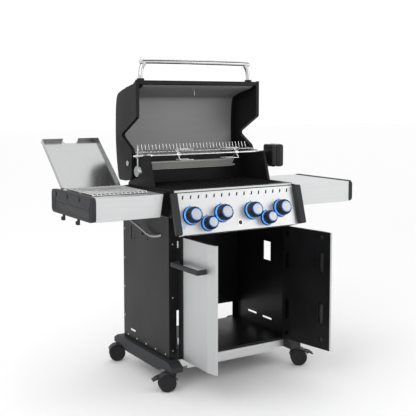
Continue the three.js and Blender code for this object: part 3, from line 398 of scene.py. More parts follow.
STUD_PLACES = (122, 259, 390)  # back from the shelf front
STUD_CLEARANCE = 9
for band, low, high in (
    ("upper", (6, 862), (446, 893)), ("lower", (22, 797), (430, 803)),
    ("near", (6, 797), (14, 862)), ("near_inner", (20, 803), (26, 862)),
    ("far", (438, 797), (446, 862)), ("far_inner", (408, 803), (414, 862)),
    ("middle", (30, 838), (404, 842)),
):
    holes = STUD_PLACES if band == "upper" else ()
    gaps = [edge for hole in holes for edge in (hole - STUD_CLEARANCE, hole + STUD_CLEARANCE)]
    edges = [low[0], *gaps, high[0]]
    for number, (start, end) in enumerate(zip(edges[::2], edges[1::2])):
        strap = bar_piece(
            f"rail_band_{band}_{number}", behind(-724, start, low[1]), behind(-722, end, high[1]),
            0.0006, 2,
        )
        dressed(strap, moulding, "cart")
for number, y in enumerate(STUD_PLACES):
    stud = turned_piece(
        f"rail_stud_{number}",
        [(0, 0), (0.0076, 0), (0.0076, 0.0035), (0.006, 0.0052), (0.0028, 0.0056), (0, 0.0056)],
        behind(-710, y, 877), (-1, 0, 0), 28,
    )
    dressed(stud, zinc, "cart")

# ---------------------------------------------------------------- doors
# Each leaf is a brushed skin with a sloping free edge, with a black strip beside the hinge that is a painted
# reflection of the black post, and backed by a black pressed liner with weight-saving slots.
POST_REFLECTION_WIDTH = 0.045  # width of the black strip beside the hinge, a painted reflection of the black post
SLOPE_START = 0.245  # from the hinge axis to the crease of the sloping edge
SLOPE_DROP = 0.009
LEAF = 0.2995  # free edge, from the hinge axis
OUTER_SKIN = 0.006  # how far in from the outer face the slope still reaches
LINER_FACE = 0.0155  # from the outer face in to the liner


def leaf_space(hand):
    """Rest place of a leaf: x from the hinge along it, y from its outer face inwards.

    The wider of the joint's two limits is the shut door, so the rest angle is measured from it.
    """
    hinge = joint(f"{hand}_door_hinge")
    low, high = hinge["range_deg"]
    turn = -high if hand == "left" else -low
    side = 1 if hand == "left" else -1
    place = Matrix.Translation((hinge["pos_m"][0], hinge["pos_m"][1], 0))
    return place @ Matrix.Rotation(math.radians(turn), 4, "Z") @ Matrix.Diagonal((side, 1, 1, 1))


def crossing(bm, place, u):
    """Cuts an edge line through a leaf at distance u from its hinge."""
    geometry = bm.verts[:] + bm.edges[:] + bm.faces[:]
    normal = (place.to_3x3() @ Vector((1, 0, 0))).normalized()
    bmesh.ops.bisect_plane(
        bm, geom=geometry, plane_co=place @ Vector((u, 0, 0)), plane_no=normal, dist=1e-6,
    )


for hand in ("left", "right"):
    place = leaf_space(hand)
    back = place.inverted()
    leaf = node_copy(f"door_{hand}", f"door_leaf_{hand}")
    bm = bmesh.new()
    bm.from_mesh(leaf.data)
    for u in (POST_REFLECTION_WIDTH, SLOPE_START):
        crossing(bm, place, u)
    for vert in bm.verts:
        local = back @ vert.co
        if local.x > SLOPE_START and local.y < OUTER_SKIN:
            local.y += SLOPE_DROP * (local.x - SLOPE_START) / (LEAF - SLOPE_START)
            vert.co = place @ local
    # Faces beside the hinge take black enamel as a painted reflection of the black post; faces behind the liner
    # face are the real black liner.
    for face in bm.faces:
        centre = back @ face.calc_center_median()
        black = centre.x < POST_REFLECTION_WIDTH - 0.001 or centre.y > LINER_FACE
        face.material_index = 1 if black else 0
    bmesh.ops.triangulate(bm, faces=[f for f in bm.faces if len(f.verts) > 4])
    bm.to_mesh(leaf.data)
    bm.free()
    leaf.data.materials.append(steel_upright_shaded)
    leaf.data.materials.append(enamel)
    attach(leaf, f"{hand}_door")
    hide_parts(f"door_{hand}")
    rounded_node(
        f"door_handle_{hand}", f"door_pull_{hand}", moulding, f"{hand}_door", 0.0045, 4,
    )
    hinge_x, hinge_y, _ = joint(f"{hand}_door_hinge")["pos_m"]
    for spot, height in (("upper", 0.66), ("lower", 0.217)):
        barrel_rows = [
            (0, -0.016), (0.0035, -0.016), (0.0045, -0.0145), (0.0045, 0.0145), (0.0035, 0.016),
            (0, 0.016),
        ]
        barrel = turned_piece(
            f"hinge_barrel_{hand}_{spot}", barrel_rows, (hinge_x, hinge_y + 0.003, height),
            (0, 0, 1), 20,
        )
        dressed(barrel, zinc, f"{hand}_door")

# ---------------------------------------------------------------- control panel
# Sloping stainless fascia with vent slots, moulded end caps, and a bright strip on the
# firebox edge above it.
rounded_node("control_panel", "panel_fascia", steel_across_lit, "cart", 0.0005, 1, 40, False)
for hand in ("left", "right"):
    rounded_node(f"panel_cap_{hand}", f"panel_end_{hand}", moulding, "cart", 0.006, 4)
strip = bar_piece("rim_strip", behind(-327, -5, 895), behind(327, 1.5, 904.5), 0.0015)
dressed(strip, steel_across_lit, "cart")

# ---------------------------------------------------------------- knobs
# Each knob stands on a black dished bezel with a lit blue ring; the grip is fluted nylon
# with a satin metal cap, a thin blue inlay and a blue dot at the top.
knob_grip = painted("knob_grip", (0.008, 0.008, 0.009), (0.016, 0.016, 0.018), 0.42, 900, 0.0003, 0.1)
bezel_black = painted("bezel_gloss", (0.006, 0.006, 0.007), (0.012, 0.012, 0.013), 0.25, 500, 0.0001, 0.4)
cap_metal = brushed_steel("knob_cap_metal", (60, 60, 60), (0.42, 0.425, 0.43), (0.58, 0.585, 0.59), 0.4)


def lit(name, colour, strength):
    """Frosted light guide: translucent plastic that glows a little unevenly."""
    material, tree, shader = new_material(name)
    glow = noise(tree, coordinates(tree, (1, 1, 1)), 60.0, 2.0)
    pale = tuple(min(1, c * 1.5 + 0.06) for c in colour)
    tint = tinted(tree, glow, colour, pale)
    tree.links.new(tint, shader.inputs["Base Color"])
    tree.links.new(tint, shader.inputs["Emission Color"])
    tree.links.new(spread(tree, glow, 0.3, 0.4), shader.inputs["Roughness"])
    shader.inputs["Emission Strength"].default_value = strength
    return material


blue_light = lit("blue_light_ring", (0.02, 0.22, 0.85), 0.9)
blue_mark = lit("blue_inlay", (0.03, 0.2, 0.8), 0.25)
KNOB_SCALES = {
    "burner_1": 1.0, "side_burner": 0.85, "burner_2": 1.0,
    "burner_3": 1.0, "rear_burner": 0.85, "burner_4": 1.0,
}
FLUTES = 14


def fluted(name, rows, centre, axis, depth, first, last, steps=112):
    """Turned solid whose rows first to last are scalloped for the fingers."""
    bm = bmesh.new()
    ring_mesh(bm, rows, centre, axis, steps)
    axis, centre = Vector(axis).normalized(), Vector(centre)
    side = axis.orthogonal().normalized()
    other = axis.cross(side)
    for vert in bm.verts:
        offset = vert.co - centre
        height = offset.dot(axis)
        if first <= height <= last:
            angle = math.atan2(offset.dot(other), offset.dot(side))
            radial = offset - axis * height
            vert.co -= radial * depth * (0.5 + 0.5 * math.cos(FLUTES * angle)) ** 2
    return mesh_object(name, bm, 40)


for knob, size in KNOB_SCALES.items():
    turn = joint(f"knob_{knob}_turn")
    centre, out = Vector(turn["pos_m"]), Vector(turn["axis"]).normalized()
    up = (Vector((0, 0, 1)) - out * out.z).normalized()
    bezel = turned_piece(
        f"bezel_{knob}",
        [(0.03 * size, 0.002), (0.0425 * size, 0.002), (0.0428 * size, 0.006), (0.041 * size, 0.0095),
         (0.037 * size, 0.0105), (0.031 * size, 0.0095), (0.03 * size, 0.002)],
        centre, out, 64,
    )
    dressed(bezel, bezel_black, "cart")
    ring = turned_piece(
        f"light_ring_{knob}",
        [(0.0345 * size, 0.0105), (0.0388 * size, 0.0105), (0.0394 * size, 0.012), (0.039 * size, 0.0165),
         (0.0376 * size, 0.018), (0.0345 * size, 0.018), (0.0345 * size, 0.0105)],
        centre, out, 64,
    )
    dressed(ring, blue_light, "cart")
    grip = fluted(
        f"knob_grip_{knob}",
        [(0, 0.0195), (0.0365 * size, 0.0195), (0.0375 * size, 0.021), (0.0375 * size, 0.03),
         (0.0368 * size, 0.042), (0.0352 * size, 0.0485), (0.031 * size, 0.052), (0.0268 * size, 0.0535),
         (0.0262 * size, 0.0525), (0, 0.0525)],
        centre, out, 0.055, 0.0205, 0.049,
    )
    dressed(grip, knob_grip, f"knob_{knob}_body")
    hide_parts(f"knob_{knob}")
    inlay = turned_piece(
        f"knob_inlay_{knob}",
        [(0.0238 * size, 0.0527), (0.0262 * size, 0.0527), (0.0262 * size, 0.0553), (0.0238 * size, 0.0553),
         (0.0238 * size, 0.0527)],
        centre, out, 56,
    )
    dressed(inlay, blue_mark, f"knob_{knob}_body")
    cap = turned_piece(
        f"knob_cap_{knob}",
        [(0, 0.0527), (0.0236 * size, 0.0527), (0.0236 * size, 0.0556), (0.0226 * size, 0.0566),
         (0.012 * size, 0.0569), (0, 0.057)],
        centre, out, 56,
    )
    dressed(cap, cap_metal, f"knob_{knob}_body")
    dot = turned_piece(
        f"knob_dot_{knob}",
        [(0, 0.0562), (0.0024, 0.0562), (0.0024, 0.0571), (0, 0.0572)],
        centre + up * 0.0165 * size, out, 20,
    )
    dressed(dot, blue_mark, f"knob_{knob}_body")

# ---------------------------------------------------------------- lid
# Curved steel skin, enamelled black outside, over a plain brushed lining, closed at each end
# by a thick cast cap and along the front edge by a black folded lip.
lid_hinge = Vector(joint("lid_hinge")["pos_m"])
SHUT_HINGE_Y, SHUT_HINGE_Z = 0.402, 1.002  # the hinge in the shut lid's own measurements
LID_LINE = (
    (0.004, 0.908), (0.023, 0.936), (0.039, 1.008), (0.062, 1.083), (0.08, 1.109), (0.123, 1.121),
    (0.197, 1.126), (0.271, 1.127), (0.336, 1.123), (0.404, 1.114), (0.472, 1.1), (0.484, 1.088),
)
LID_HALF = 0.3368
LID_SKIN, LINING_DEPTH, LINING_SHEET, LINING_HALF = 0.004, 0.014, 0.002, 0.314
LID_FLOOR = 0.9085  # the lining stops just above the rim
CAP_DEPTH = 0.018
CAP_GAP = 0.0003


def on_lid(x, y, z):
    """Rest place, a quarter turn back, of a point given as it lies with the lid shut."""
    return Vector((x, lid_hinge.y + (z - SHUT_HINGE_Z), lid_hinge.z - (y - SHUT_HINGE_Y)))


def eased(points, steps):
    """Smooth line through points, with a few in-between points on each stretch."""
    points = [Vector(point) for point in points]
    line = []
    for i in range(len(points) - 1):
        a, b, c, d = (points[min(max(i + k, 0), len(points) - 1)] for k in (-1, 0, 1, 2))
        for step in range(steps):
            t = step / steps
            square, cube = 2 * a - 5 * b + 4 * c - d, 3 * b - a - 3 * c + d
            line.append(0.5 * (2 * b + (c - a) * t + square * t * t + cube * t ** 3))
    return line + [points[-1]]


def inward(line, distance):
    """The same line moved over to its right-hand side."""
    moved = []
    for i, point in enumerate(line):
        ahead = line[min(i + 1, len(line) - 1)] - line[max(i - 1, 0)]
        moved.append(point + Vector((ahead[1], -ahead[0])).normalized() * distance)
    return moved


def lid_prism(name, outline, x0, x1, smooth=35):
    """Outline of the shut lid's (y, z) points, carried across from x0 to x1."""
    bm = bmesh.new()
    ends = [[bm.verts.new(on_lid(x, point[0], point[1])) for point in outline] for x in (x0, x1)]
    count = len(outline)
    for i in range(count):
        j = (i + 1) % count
        bm.faces.new((ends[0][i], ends[0][j], ends[1][j], ends[1][i]))
    for end in ends:
        face = bm.faces.new(end)
        face.normal_update()
        bmesh.ops.triangulate(bm, faces=[face])
    return mesh_object(name, bm, smooth)


skin_line = eased(LID_LINE, 5) + [Vector((0.484, 1.056)), Vector((0.484, 1.024))]
skin = lid_prism("lid_skin", skin_line + inward(skin_line, LID_SKIN)[::-1], -LID_HALF, LID_HALF)
dressed(skin, enamel, "lid")
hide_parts("lid_shell")
lining_line = [point for point in inward(skin_line[:-2], LINING_DEPTH) if point[1] > LID_FLOOR]
lining = lid_prism(
    "lid_lining", lining_line + inward(lining_line, LINING_SHEET)[::-1], -LINING_HALF, LINING_HALF,
)
lining_steel = brushed_steel(
    "lining_steel", (1.2, 90, 90), (0.24, 0.24, 0.245), (0.29, 0.29, 0.295), 0.55, 0.55,
)
dressed(lining, lining_steel, "lid")
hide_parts("lid_liner")
lip = lid_prism(
    "lid_front_lip",
    [Vector(point) for point in (
        (0.0046, 0.9082), (0.0205, 0.9082), (0.0235, 0.9105), (0.031, 0.9225), (0.0285, 0.9235),
        (0.015, 0.916), (0.0085, 0.9135),
    )],
    -LID_HALF + 0.001, LID_HALF - 0.001,
)
dressed(lip, enamel, "lid")

CAP_BACK = ((0.488, 1.09), (0.488, 1.024), (0.471, 0.959), (0.35, 0.954), (0.329, 0.966))
CAP_FRONT = ((0.277, 1.056), (0.269, 1.062), (0.259, 1.058), (0.184, 0.914), (0.176, 0.908))
CAP_NOTCHES = (0.945, 0.985, 1.035)  # heights of the small vents along the front edge
cap_top = eased((
    (0.001, 0.908), (0.02, 0.937), (0.036, 1.009), (0.059, 1.085), (0.078, 1.112), (0.122, 1.125),
    (0.197, 1.13), (0.271, 1.131), (0.336, 1.127), (0.405, 1.118), (0.475, 1.103),
), 5)
notched = []
for point, ahead in zip(cap_top, cap_top[1:]):
    notched.append(point)
    if any(point[1] <= height < ahead[1] for height in CAP_NOTCHES) and point[0] < 0.07:
        along = (ahead - point).normalized()
        deep = Vector((along[1], -along[0])) * 0.006
        start = point + along * 0.002
        notched += [start, start + deep, start + along * 0.011 + deep, start + along * 0.011]
cap_line = notched + [Vector(point) for point in (cap_top[-1], *CAP_BACK, *CAP_FRONT)]
for hand, side in (("left", -1), ("right", 1)):
    near = side * (LID_HALF + CAP_GAP)
    far = side * (LID_HALF + CAP_GAP + CAP_DEPTH)
    cap = lid_prism(f"lid_end_{hand}", cap_line, near, far)
    edge_softened(cap, 0.0009, 2, 40)
    dressed(cap, cast_paint, "lid")
    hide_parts(f"lid_cap_{hand}")
    boss = turned_piece(
        f"lid_pivot_{hand}",
        [(0, 0), (0.0125, 0), (0.0125, 0.0022), (0.011, 0.0034), (0, 0.0036)],
        (far - side * 0.001, lid_hinge.y, lid_hinge.z), (side, 0, 0), 32,
    )
    dressed(boss, zinc, "lid")

# ---------------------------------------------------------------- lid handle
# Chromed steel tube bent back at both ends into two black cast bosses on the lid's front.
HANDLE_KNOTS = (
    (0.311, 0.014, 0.944), (0.31, -0.022, 0.945), (0.306, -0.052, 0.947), (0.292, -0.076, 0.946),
    (0.262, -0.087, 0.944),
)
HANDLE_RADIUS = 0.0118
tube_chrome = brushed_steel("tube_chrome", (40, 3, 3), (0.5, 0.505, 0.51), (0.6, 0.605, 0.61), 0.1)


def tube_through(name, path, radius, sides=16, smooth=60):
    """Round bar or hose that follows a path, with flat ends."""
    bm = bmesh.new()
    rows = []
    up = None
    for i, point in enumerate(path):
        ahead = (path[min(i + 1, len(path) - 1)] - path[max(i - 1, 0)]).normalized()
        up = up or ahead.orthogonal()
        up = (up - ahead * up.dot(ahead)).normalized()
        across = ahead.cross(up)
        turns = [2 * math.pi * k / sides for k in range(sides)]
        rows.append([
            bm.verts.new(point + (up * math.cos(turn) + across * math.sin(turn)) * radius)
            for turn in turns
        ])
    for low, high in zip(rows, rows[1:]):
        for k in range(sides):
            m = (k + 1) % sides
            bm.faces.new((low[k], low[m], high[m], high[k]))
    bm.faces.new(rows[0])
    bm.faces.new(rows[-1])
    return mesh_object(name, bm, smooth)


handle_half = [on_lid(*knot) for knot in HANDLE_KNOTS]
mirrored = [Vector((-point.x, point.y, point.z)) for point in handle_half]
handle = tube_through("lid_handle_tube", eased(mirrored + handle_half[::-1], 10), HANDLE_RADIUS, 20)
dressed(handle, tube_chrome, "lid")
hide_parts("lid_handle")
for hand, side in (("left", -1), ("right", 1)):
    foot = on_lid(side * 0.311, 0.0265, 0.944)
    out = (on_lid(0, -1, 0.944) - on_lid(0, 0, 0.944)).normalized()
    boss = turned_piece(
        f"handle_boss_{hand}",
        [(0, -0.002), (0.0215, -0.002), (0.0212, 0.006), (0.0185, 0.014), (0.0172, 0.0315),
         (0.016, 0.0325), (0, 0.0325)],
        foot, out, 36,
    )
    dressed(boss, cast_paint, "lid")

# ---------------------------------------------------------------- thermometer
# Round dial in a bright bezel on the lid's outer face: white face, black marks, a red
# hand, and a probe that passes through both skins.
probe_foot = on_lid(0, 0.031, 0.974)
dial_out = (on_lid(0, 0.031 - 0.072, 0.974 + 0.016) - probe_foot).normalized()
dial_up = (on_lid(0, 0.031 + 0.016, 0.974 + 0.072) - probe_foot).normalized()
dial_right = dial_up.cross(dial_out)
bezel = turned_piece(
    "dial_bezel",
    [(0.0325, 0.0105), (0.0335, 0.0128), (0.0352, 0.013), (0.0368, 0.0112), (0.037, 0.0005),
     (0, 0.0005), (0, 0.0085), (0.0325, 0.0085), (0.0325, 0.0105)],
    probe_foot, dial_out, 64,
)
dressed(bezel, chrome, "lid")
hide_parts("thermometer")
dial_white = painted("dial_white", (0.7, 0.7, 0.68), (0.8, 0.8, 0.78), 0.35, 300, 0.0001, 0.3)
dial_red = painted("dial_red", (0.4, 0.02, 0.015), (0.55, 0.03, 0.02), 0.4, 300, 0.0001)
face = turned_piece(
    "dial_face", [(0, 0.0084), (0.0323, 0.0084), (0.0323, 0.0092), (0, 0.0092)],
    probe_foot, dial_out, 48,
)
dressed(face, dial_white, "lid")
probe = turned_piece(
    "dial_probe",
    [(0, -0.046), (0.0018, -0.0455), (0.003, -0.043), (0.003, -0.02), (0.006, -0.0185),
     (0.006, 0.0004), (0, 0.0004)],
    probe_foot, dial_out, 24,
)
dressed(probe, steel_dull, "lid")


MARK_DEPTH = 0.0004


def ray_marks(bm, face, angles, span, half_width, lift):
    """Thin raised strokes on a face (centre, out, up), one at each clockwise angle from up."""
    centre, out, up = face
    right = up.cross(out)
    for angle in angles:
        ray = right * math.sin(math.radians(angle)) + up * math.cos(math.radians(angle))
        cross = ray.cross(out)
        corners = [
            centre + out * lift + ray * span[end] + cross * side * half_width
            for end, side in ((0, -1), (1, -1), (1, 1), (0, 1))
        ]
        lower = [bm.verts.new(corner - out * MARK_DEPTH) for corner in corners]
        upper = [bm.verts.new(corner) for corner in corners]
        bm.faces.new(upper)
        bm.faces.new(lower)
        for k in range(4):
            bm.faces.new((lower[k], lower[(k + 1) % 4], upper[(k + 1) % 4], upper[k]))


marks = bmesh.new()
dial = (probe_foot, dial_out, dial_up)
ray_marks(marks, dial, range(-130, 131, 13), (0.0265, 0.0305), 0.00035, 0.0094)
ray_marks(marks, dial, range(-130, 131, 65), (0.0235, 0.0265), 0.0006, 0.0094)
dressed(mesh_object("dial_marks", marks), dark_moulding, "lid")
hand_bm = bmesh.new()
reading = math.radians(-128)
ray = dial_right * math.sin(reading) + dial_up * math.cos(reading)
cross = ray.cross(dial_out)
tip, tail = probe_foot + ray * 0.024, probe_foot - ray * 0.006
half_tail = cross * 0.0016
hand_rows = [
    [hand_bm.verts.new(corner + dial_out * height) for corner in (tail - half_tail, tip, tail + half_tail)]
    for height in (0.0096, 0.0102)
]
hand_bm.faces.new(hand_rows[0])
hand_bm.faces.new(hand_rows[1])
for k in range(3):
    m = (k + 1) % 3
    hand_bm.faces.new((hand_rows[0][k], hand_rows[0][m], hand_rows[1][m], hand_rows[1][k]))
dressed(mesh_object("dial_hand", hand_bm), dial_red, "lid")

# ---------------------------------------------------------------- warming rack
# Bent chrome wires welded to two long carriers; a foot at each end rests on the casting's shoulder.
def row_tree():
    """Copies a piece along a straight line: how many, the step between them, and the finish."""
    tree = bpy.data.node_groups.new("row_of_copies", "GeometryNodeTree")
    for label, kind in (("Geometry", "Geometry"), ("Count", "Int"), ("Step", "Vector"), ("Finish", "Material")):
        tree.interface.new_socket(label, in_out="INPUT", socket_type=f"NodeSocket{kind}")
    tree.interface.new_socket("Geometry", in_out="OUTPUT", socket_type="NodeSocketGeometry")
    start, end = tree.nodes.new("NodeGroupInput"), tree.nodes.new("NodeGroupOutput")
    line, place = tree.nodes.new("GeometryNodeMeshLine"), tree.nodes.new("GeometryNodeInstanceOnPoints")
    real, paint = tree.nodes.new("GeometryNodeRealizeInstances"), tree.nodes.new("GeometryNodeSetMaterial")
    line.mode = "OFFSET"
    tree.links.new(start.outputs["Count"], line.inputs["Count"])
    tree.links.new(start.outputs["Step"], line.inputs["Offset"])
    tree.links.new(line.outputs["Mesh"], place.inputs["Points"])
    tree.links.new(start.outputs["Geometry"], place.inputs["Instance"])
    tree.links.new(place.outputs["Instances"], real.inputs["Geometry"])
    tree.links.new(real.outputs["Geometry"], paint.inputs["Geometry"])
    tree.links.new(start.outputs["Finish"], paint.inputs["Material"])
    tree.links.new(paint.outputs["Geometry"], end.inputs["Geometry"])
    return tree


ROW = row_tree()


def row_of(obj, count, step, material, body):
    """Turns one piece into a straight row of the same piece."""
    values = {"Count": count, "Step": step, "Finish": material}
    row = obj.modifiers.new("row", "NODES")
    row.node_group = ROW
    for item in ROW.interface.items_tree:
        if item.in_out == "INPUT" and item.name in values:
            row[item.identifier] = values[item.name]
    bpy.context.view_layer.update()
    mesh = bpy.data.meshes.new_from_object(obj.evaluated_get(bpy.context.evaluated_depsgraph_get()))
    obj.modifiers.clear()
    obj.data = mesh
    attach(obj, body)
    return obj


def straight_rod(name, start, end, radius, material, body, sides=12):
    rod = tube_through(name, [Vector(start), Vector(end)], radius, sides)
    return dressed(rod, material, body)


rack_chrome = brushed_steel("rack_chrome", (8, 8, 8), (0.72, 0.725, 0.73), (0.84, 0.845, 0.85), 0.2)
wire = tube_through(
    "rack_wires",
    [behind(-312, *spot) for spot in (
        (313, 1055), (315, 1059), (319, 1061), (362, 1061), (366, 1063), (369, 1068), (377, 1091),
    )],
    0.0017, 8,
)
row_of(wire, 33, (0.0195, 0, 0), rack_chrome, "cart")
for spot, y in (("front", 326), ("back", 360)):
    carrier = straight_rod(
        f"rack_carrier_{spot}", behind(-334, y, 1056.5), behind(334, y, 1056.5), 0.0029,
        rack_chrome, "cart",
    )
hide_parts("warming_rack")
for hand, side in (("left", -1), ("right", 1)):
    middle = side * 329.5
    foot = bar_piece(
        f"rack_foot_{hand}", behind(middle - 4.5, 290, 1048.4), behind(middle + 4.5, 361, 1053.5), 0.001,
    )
    dressed(foot, rack_chrome, "cart")

# ---------------------------------------------------------------- rear burner and igniter
# Perforated heat-proof plate in a folded steel frame on the rear wall, with a white ceramic
# spark plug at its right-hand end.
plate_material, plate_tree, plate_shader = new_material("perforated_plate")
holes = plate_tree.nodes.new("ShaderNodeTexVoronoi")
holes.inputs["Scale"].default_value = 1.0
holes.inputs["Randomness"].default_value = 0.0
plate_tree.links.new(coordinates(plate_tree, (210, 210, 210)), holes.inputs["Vector"])
# The holes are painted as dark spots: painted shade inside the holes, over the plate's own pale colour, with a
# matching bump.
plate_colour_with_hole_shade = tinted(plate_tree, holes.outputs["Distance"], (0.05, 0.048, 0.045), (0.5, 0.5, 0.49))
plate_tree.links.new(plate_colour_with_hole_shade, plate_shader.inputs["Base Color"])
soot = noise(plate_tree, coordinates(plate_tree, (1, 1, 1)), 14.0, 4.0)
plate_tree.links.new(spread(plate_tree, soot, 0.5, 0.75), plate_shader.inputs["Roughness"])
bumped(plate_tree, plate_shader, holes.outputs["Distance"], 0.5, 0.001)
plate = bar_piece("burner_plate", behind(-238, 379.2, 970), behind(238, 383, 998), 0.0008)
dressed(plate, plate_material, "cart")
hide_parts("rear_burner")
for name, low, high in (
    ("burner_frame_top", behind(-240, 378.9, 998), behind(240, 404.5, 1006)),
    ("burner_frame_foot", behind(-240, 378.9, 966), behind(240, 404.5, 970)),
    ("burner_frame_back", behind(-240, 384, 970), behind(240, 404.5, 998)),
):
    dressed(bar_piece(name, low, high, 0.0008), steel_dull, "cart")
ceramic = painted("glazed_ceramic", (0.7, 0.69, 0.66), (0.8, 0.79, 0.77), 0.3, 300, 0.0001, 0.3)
plug = turned_piece(
    "igniter_plug",
    [(0, 0), (0.003, 0), (0.0042, 0.002), (0.0042, 0.014), (0.003, 0.016), (0.0012, 0.017),
     (0.0012, 0.022), (0, 0.022)],
    behind(252, 400, 972), (0, -1, 0), 20,
)
dressed(plug, ceramic, "cart")
LEAD_ROUTE = ((252, 402, 973), (254, 404, 986), (262, 404, 1003), (264, 404, 1020))
lead = tube_through("igniter_lead", eased([behind(*spot) for spot in LEAD_ROUTE], 5), 0.0012, 8)
dressed(lead, ceramic, "cart")

# ---------------------------------------------------------------- spit
# Round chromed rod with a collar; two sliding four-tine forks held by thumbscrews; and a zinc
# balance weight on a rod at its left-hand end.
spit_at = Vector(joint("spit_turn")["pos_m"])


def off_spit(x, y=0.0, z=0.0):
    """Place in millimetres from the spit's axis, at x across the grill."""
    return Vector((x / 1000, spit_at.y + y / 1000, spit_at.z + z / 1000))


spit_bar = turned_piece(
    "spit_bar",
    [(0, -0.394), (0.0035, -0.392), (0.005, -0.389), (0.005, -0.319), (0.0085, -0.3185), (0.009, -0.317),
     (0.009, -0.299), (0.0085, -0.2975), (0.005, -0.297), (0.005, 0.376), (0.0035, 0.378), (0, 0.378)],
    off_spit(0), (1, 0, 0), 24,
)
dressed(spit_bar, rack_chrome, "spit")
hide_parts("spit_rod")
for hand, hub_x, aim in (("left", -155, 1), ("right", 181, -1)):
    body = f"fork_{hand}"
    hub = turned_piece(
        f"fork_hub_{hand}",
        [(0.0054, -0.009), (0.012, -0.009), (0.013, -0.008), (0.013, 0.008), (0.012, 0.009),
         (0.0054, 0.009), (0.0054, -0.009)],
        off_spit(hub_x), (1, 0, 0), 28,
    )
    dressed(hub, rack_chrome, body)
    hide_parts(f"spit_fork_{hand}")
    screw = turned_piece(
        f"fork_screw_{hand}",
        [(0, 0.0115), (0.0025, 0.0115), (0.0025, 0.02), (0.004, 0.021), (0.004, 0.029),
         (0.003, 0.03), (0, 0.03)],
        off_spit(hub_x), (0, 0, 1), 20,
    )
    dressed(screw, rack_chrome, body)
    for number, (a, b) in enumerate(((1, 1), (1, -1), (-1, 1), (-1, -1))):
        path = [off_spit(hub_x + aim * along, a * wide, b * wide) for along, wide in (
            (0, 7), (0, 22), (0.9, 24.1), (3, 25), (70, 25), (78, 25),
        )]
        tine = tube_through(f"fork_tine_{hand}_{number}", path, 0.0024, 10)
        tip = path[-1]
        for vert in tine.data.vertices:
            if (vert.co - tip).length < 0.003:
                vert.co = tip + (vert.co - tip) * 0.15
        dressed(tine, rack_chrome, body)
WEIGHT_X = -371
balance = turned_piece(
    "balance_weight",
    [(0, -0.008), (0.0235, -0.008), (0.025, -0.0065), (0.025, 0.0065), (0.0235, 0.008), (0, 0.008)],
    off_spit(WEIGHT_X, 0, -72), (1, 0, 0), 40,
)
dressed(balance, zinc, "spit")
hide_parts("counterweight")
straight_rod(
    "balance_rod", off_spit(WEIGHT_X, 0, 44), off_spit(WEIGHT_X, 0, -78), 0.0033,
    zinc, "spit", 16,
)
balance_hub = turned_piece(
    "balance_hub",
    [(0.0054, -0.006), (0.0102, -0.006), (0.011, -0.005), (0.011, 0.005), (0.0102, 0.006),
     (0.0054, 0.006), (0.0054, -0.006)],
    off_spit(WEIGHT_X), (1, 0, 0), 28,
)
dressed(balance_hub, zinc, "spit")

# ---------------------------------------------------------------- spit motor
# Two-part black moulding with a parting seam, a rocker switch and a steel bracket.
gloss_moulding = painted("gloss_moulding", (0.006, 0.006, 0.007), (0.012, 0.012, 0.013), 0.3, 700, 0.0002, 0.25)
for part, x0, x1, inset in (("inner", 358.2, 386, 0), ("seam", 384, 396, 3), ("outer", 388.5, 429.8, 0)):
    shell = bar_piece(
        f"motor_{part}", behind(x0, 188 + inset, 967 + inset), behind(x1, 280 - inset, 1082 - inset),
        0.0135 if part != "seam" else 0.011, 5,
    )
    dressed(shell, gloss_moulding, "cart")
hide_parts("rotisserie_motor")
rocker = bar_piece("motor_switch", behind(400, 186.2, 1040), behind(414, 192, 1062), 0.0015)
dressed(rocker, moulding, "cart")
bracket = bar_piece("motor_bracket", behind(336.4, 234, 946), behind(362, 276, 982), 0.0015)
dressed(bracket, zinc, "cart")

# ---------------------------------------------------------------- side burner and its grate
# Pressed pan with a turned burner head, under a lift-out grate of welded chromed rods.
SIDE_X0, SIDE_X1, SIDE_Y0, SIDE_Y1 = -694, -409, 66, 378
rounded_node("side_burner", "side_burner_pan", steel_dull, "cart", 0.0006, 2, 40, False)
burner_middle = behind((SIDE_X0 + SIDE_X1) / 2, (SIDE_Y0 + SIDE_Y1) / 2, 879)
head = turned_piece(
    "side_burner_head",
    [(0, 0.0002), (0.036, 0.0002), (0.04, 0.002), (0.04, 0.0045), (0.034, 0.0068),
     (0.012, 0.0075), (0, 0.0078)],
    burner_middle, (0, 0, 1), 48,
)
dressed(head, iron, "cart")
GRATE_ROD, LEG_ROD = 0.0029, 0.0028  # radii
GRATE_SIDE = ((75, 896), (76, 900.5), (80, 901), (364, 901), (368, 900.5), (369, 896))
grate_bar = tube_through("grate_bars", [behind(-680, *spot) for spot in GRATE_SIDE], GRATE_ROD, 10)
row_of(grate_bar, 14, (0.0198, 0, 0), rack_chrome, "cart")
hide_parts("side_burner_grate")
for name, start, end, radius, count, step in (
    ("grate_crossbars", (-685, 82, 895.2), (-418, 82, 895.2), GRATE_ROD, 3, 0.1395),
    ("grate_legs_near", (-683, 83, 852), (-683, 83, 896), LEG_ROD, 2, 0.277),
    ("grate_legs_far", (-420, 83, 852), (-420, 83, 896), LEG_ROD, 2, 0.277),
):
    rod = tube_through(name, [behind(*start), behind(*end)], radius, 10)
    row_of(rod, count, (0, step, 0), rack_chrome, "cart")

# ---------------------------------------------------------------- side burner lid
# Shallow folded stainless lid, bright inside, with a finger notch in its front lip and two
# hinge barrels at the back.
bright_steel = brushed_steel("bright_steel", (90, 90, 2), (0.36, 0.362, 0.365), (0.46, 0.462, 0.465), 0.2)
rounded_node("side_burner_lid", "side_lid_shell", bright_steel, "side_lid", 0.0008, 2, 40, False)

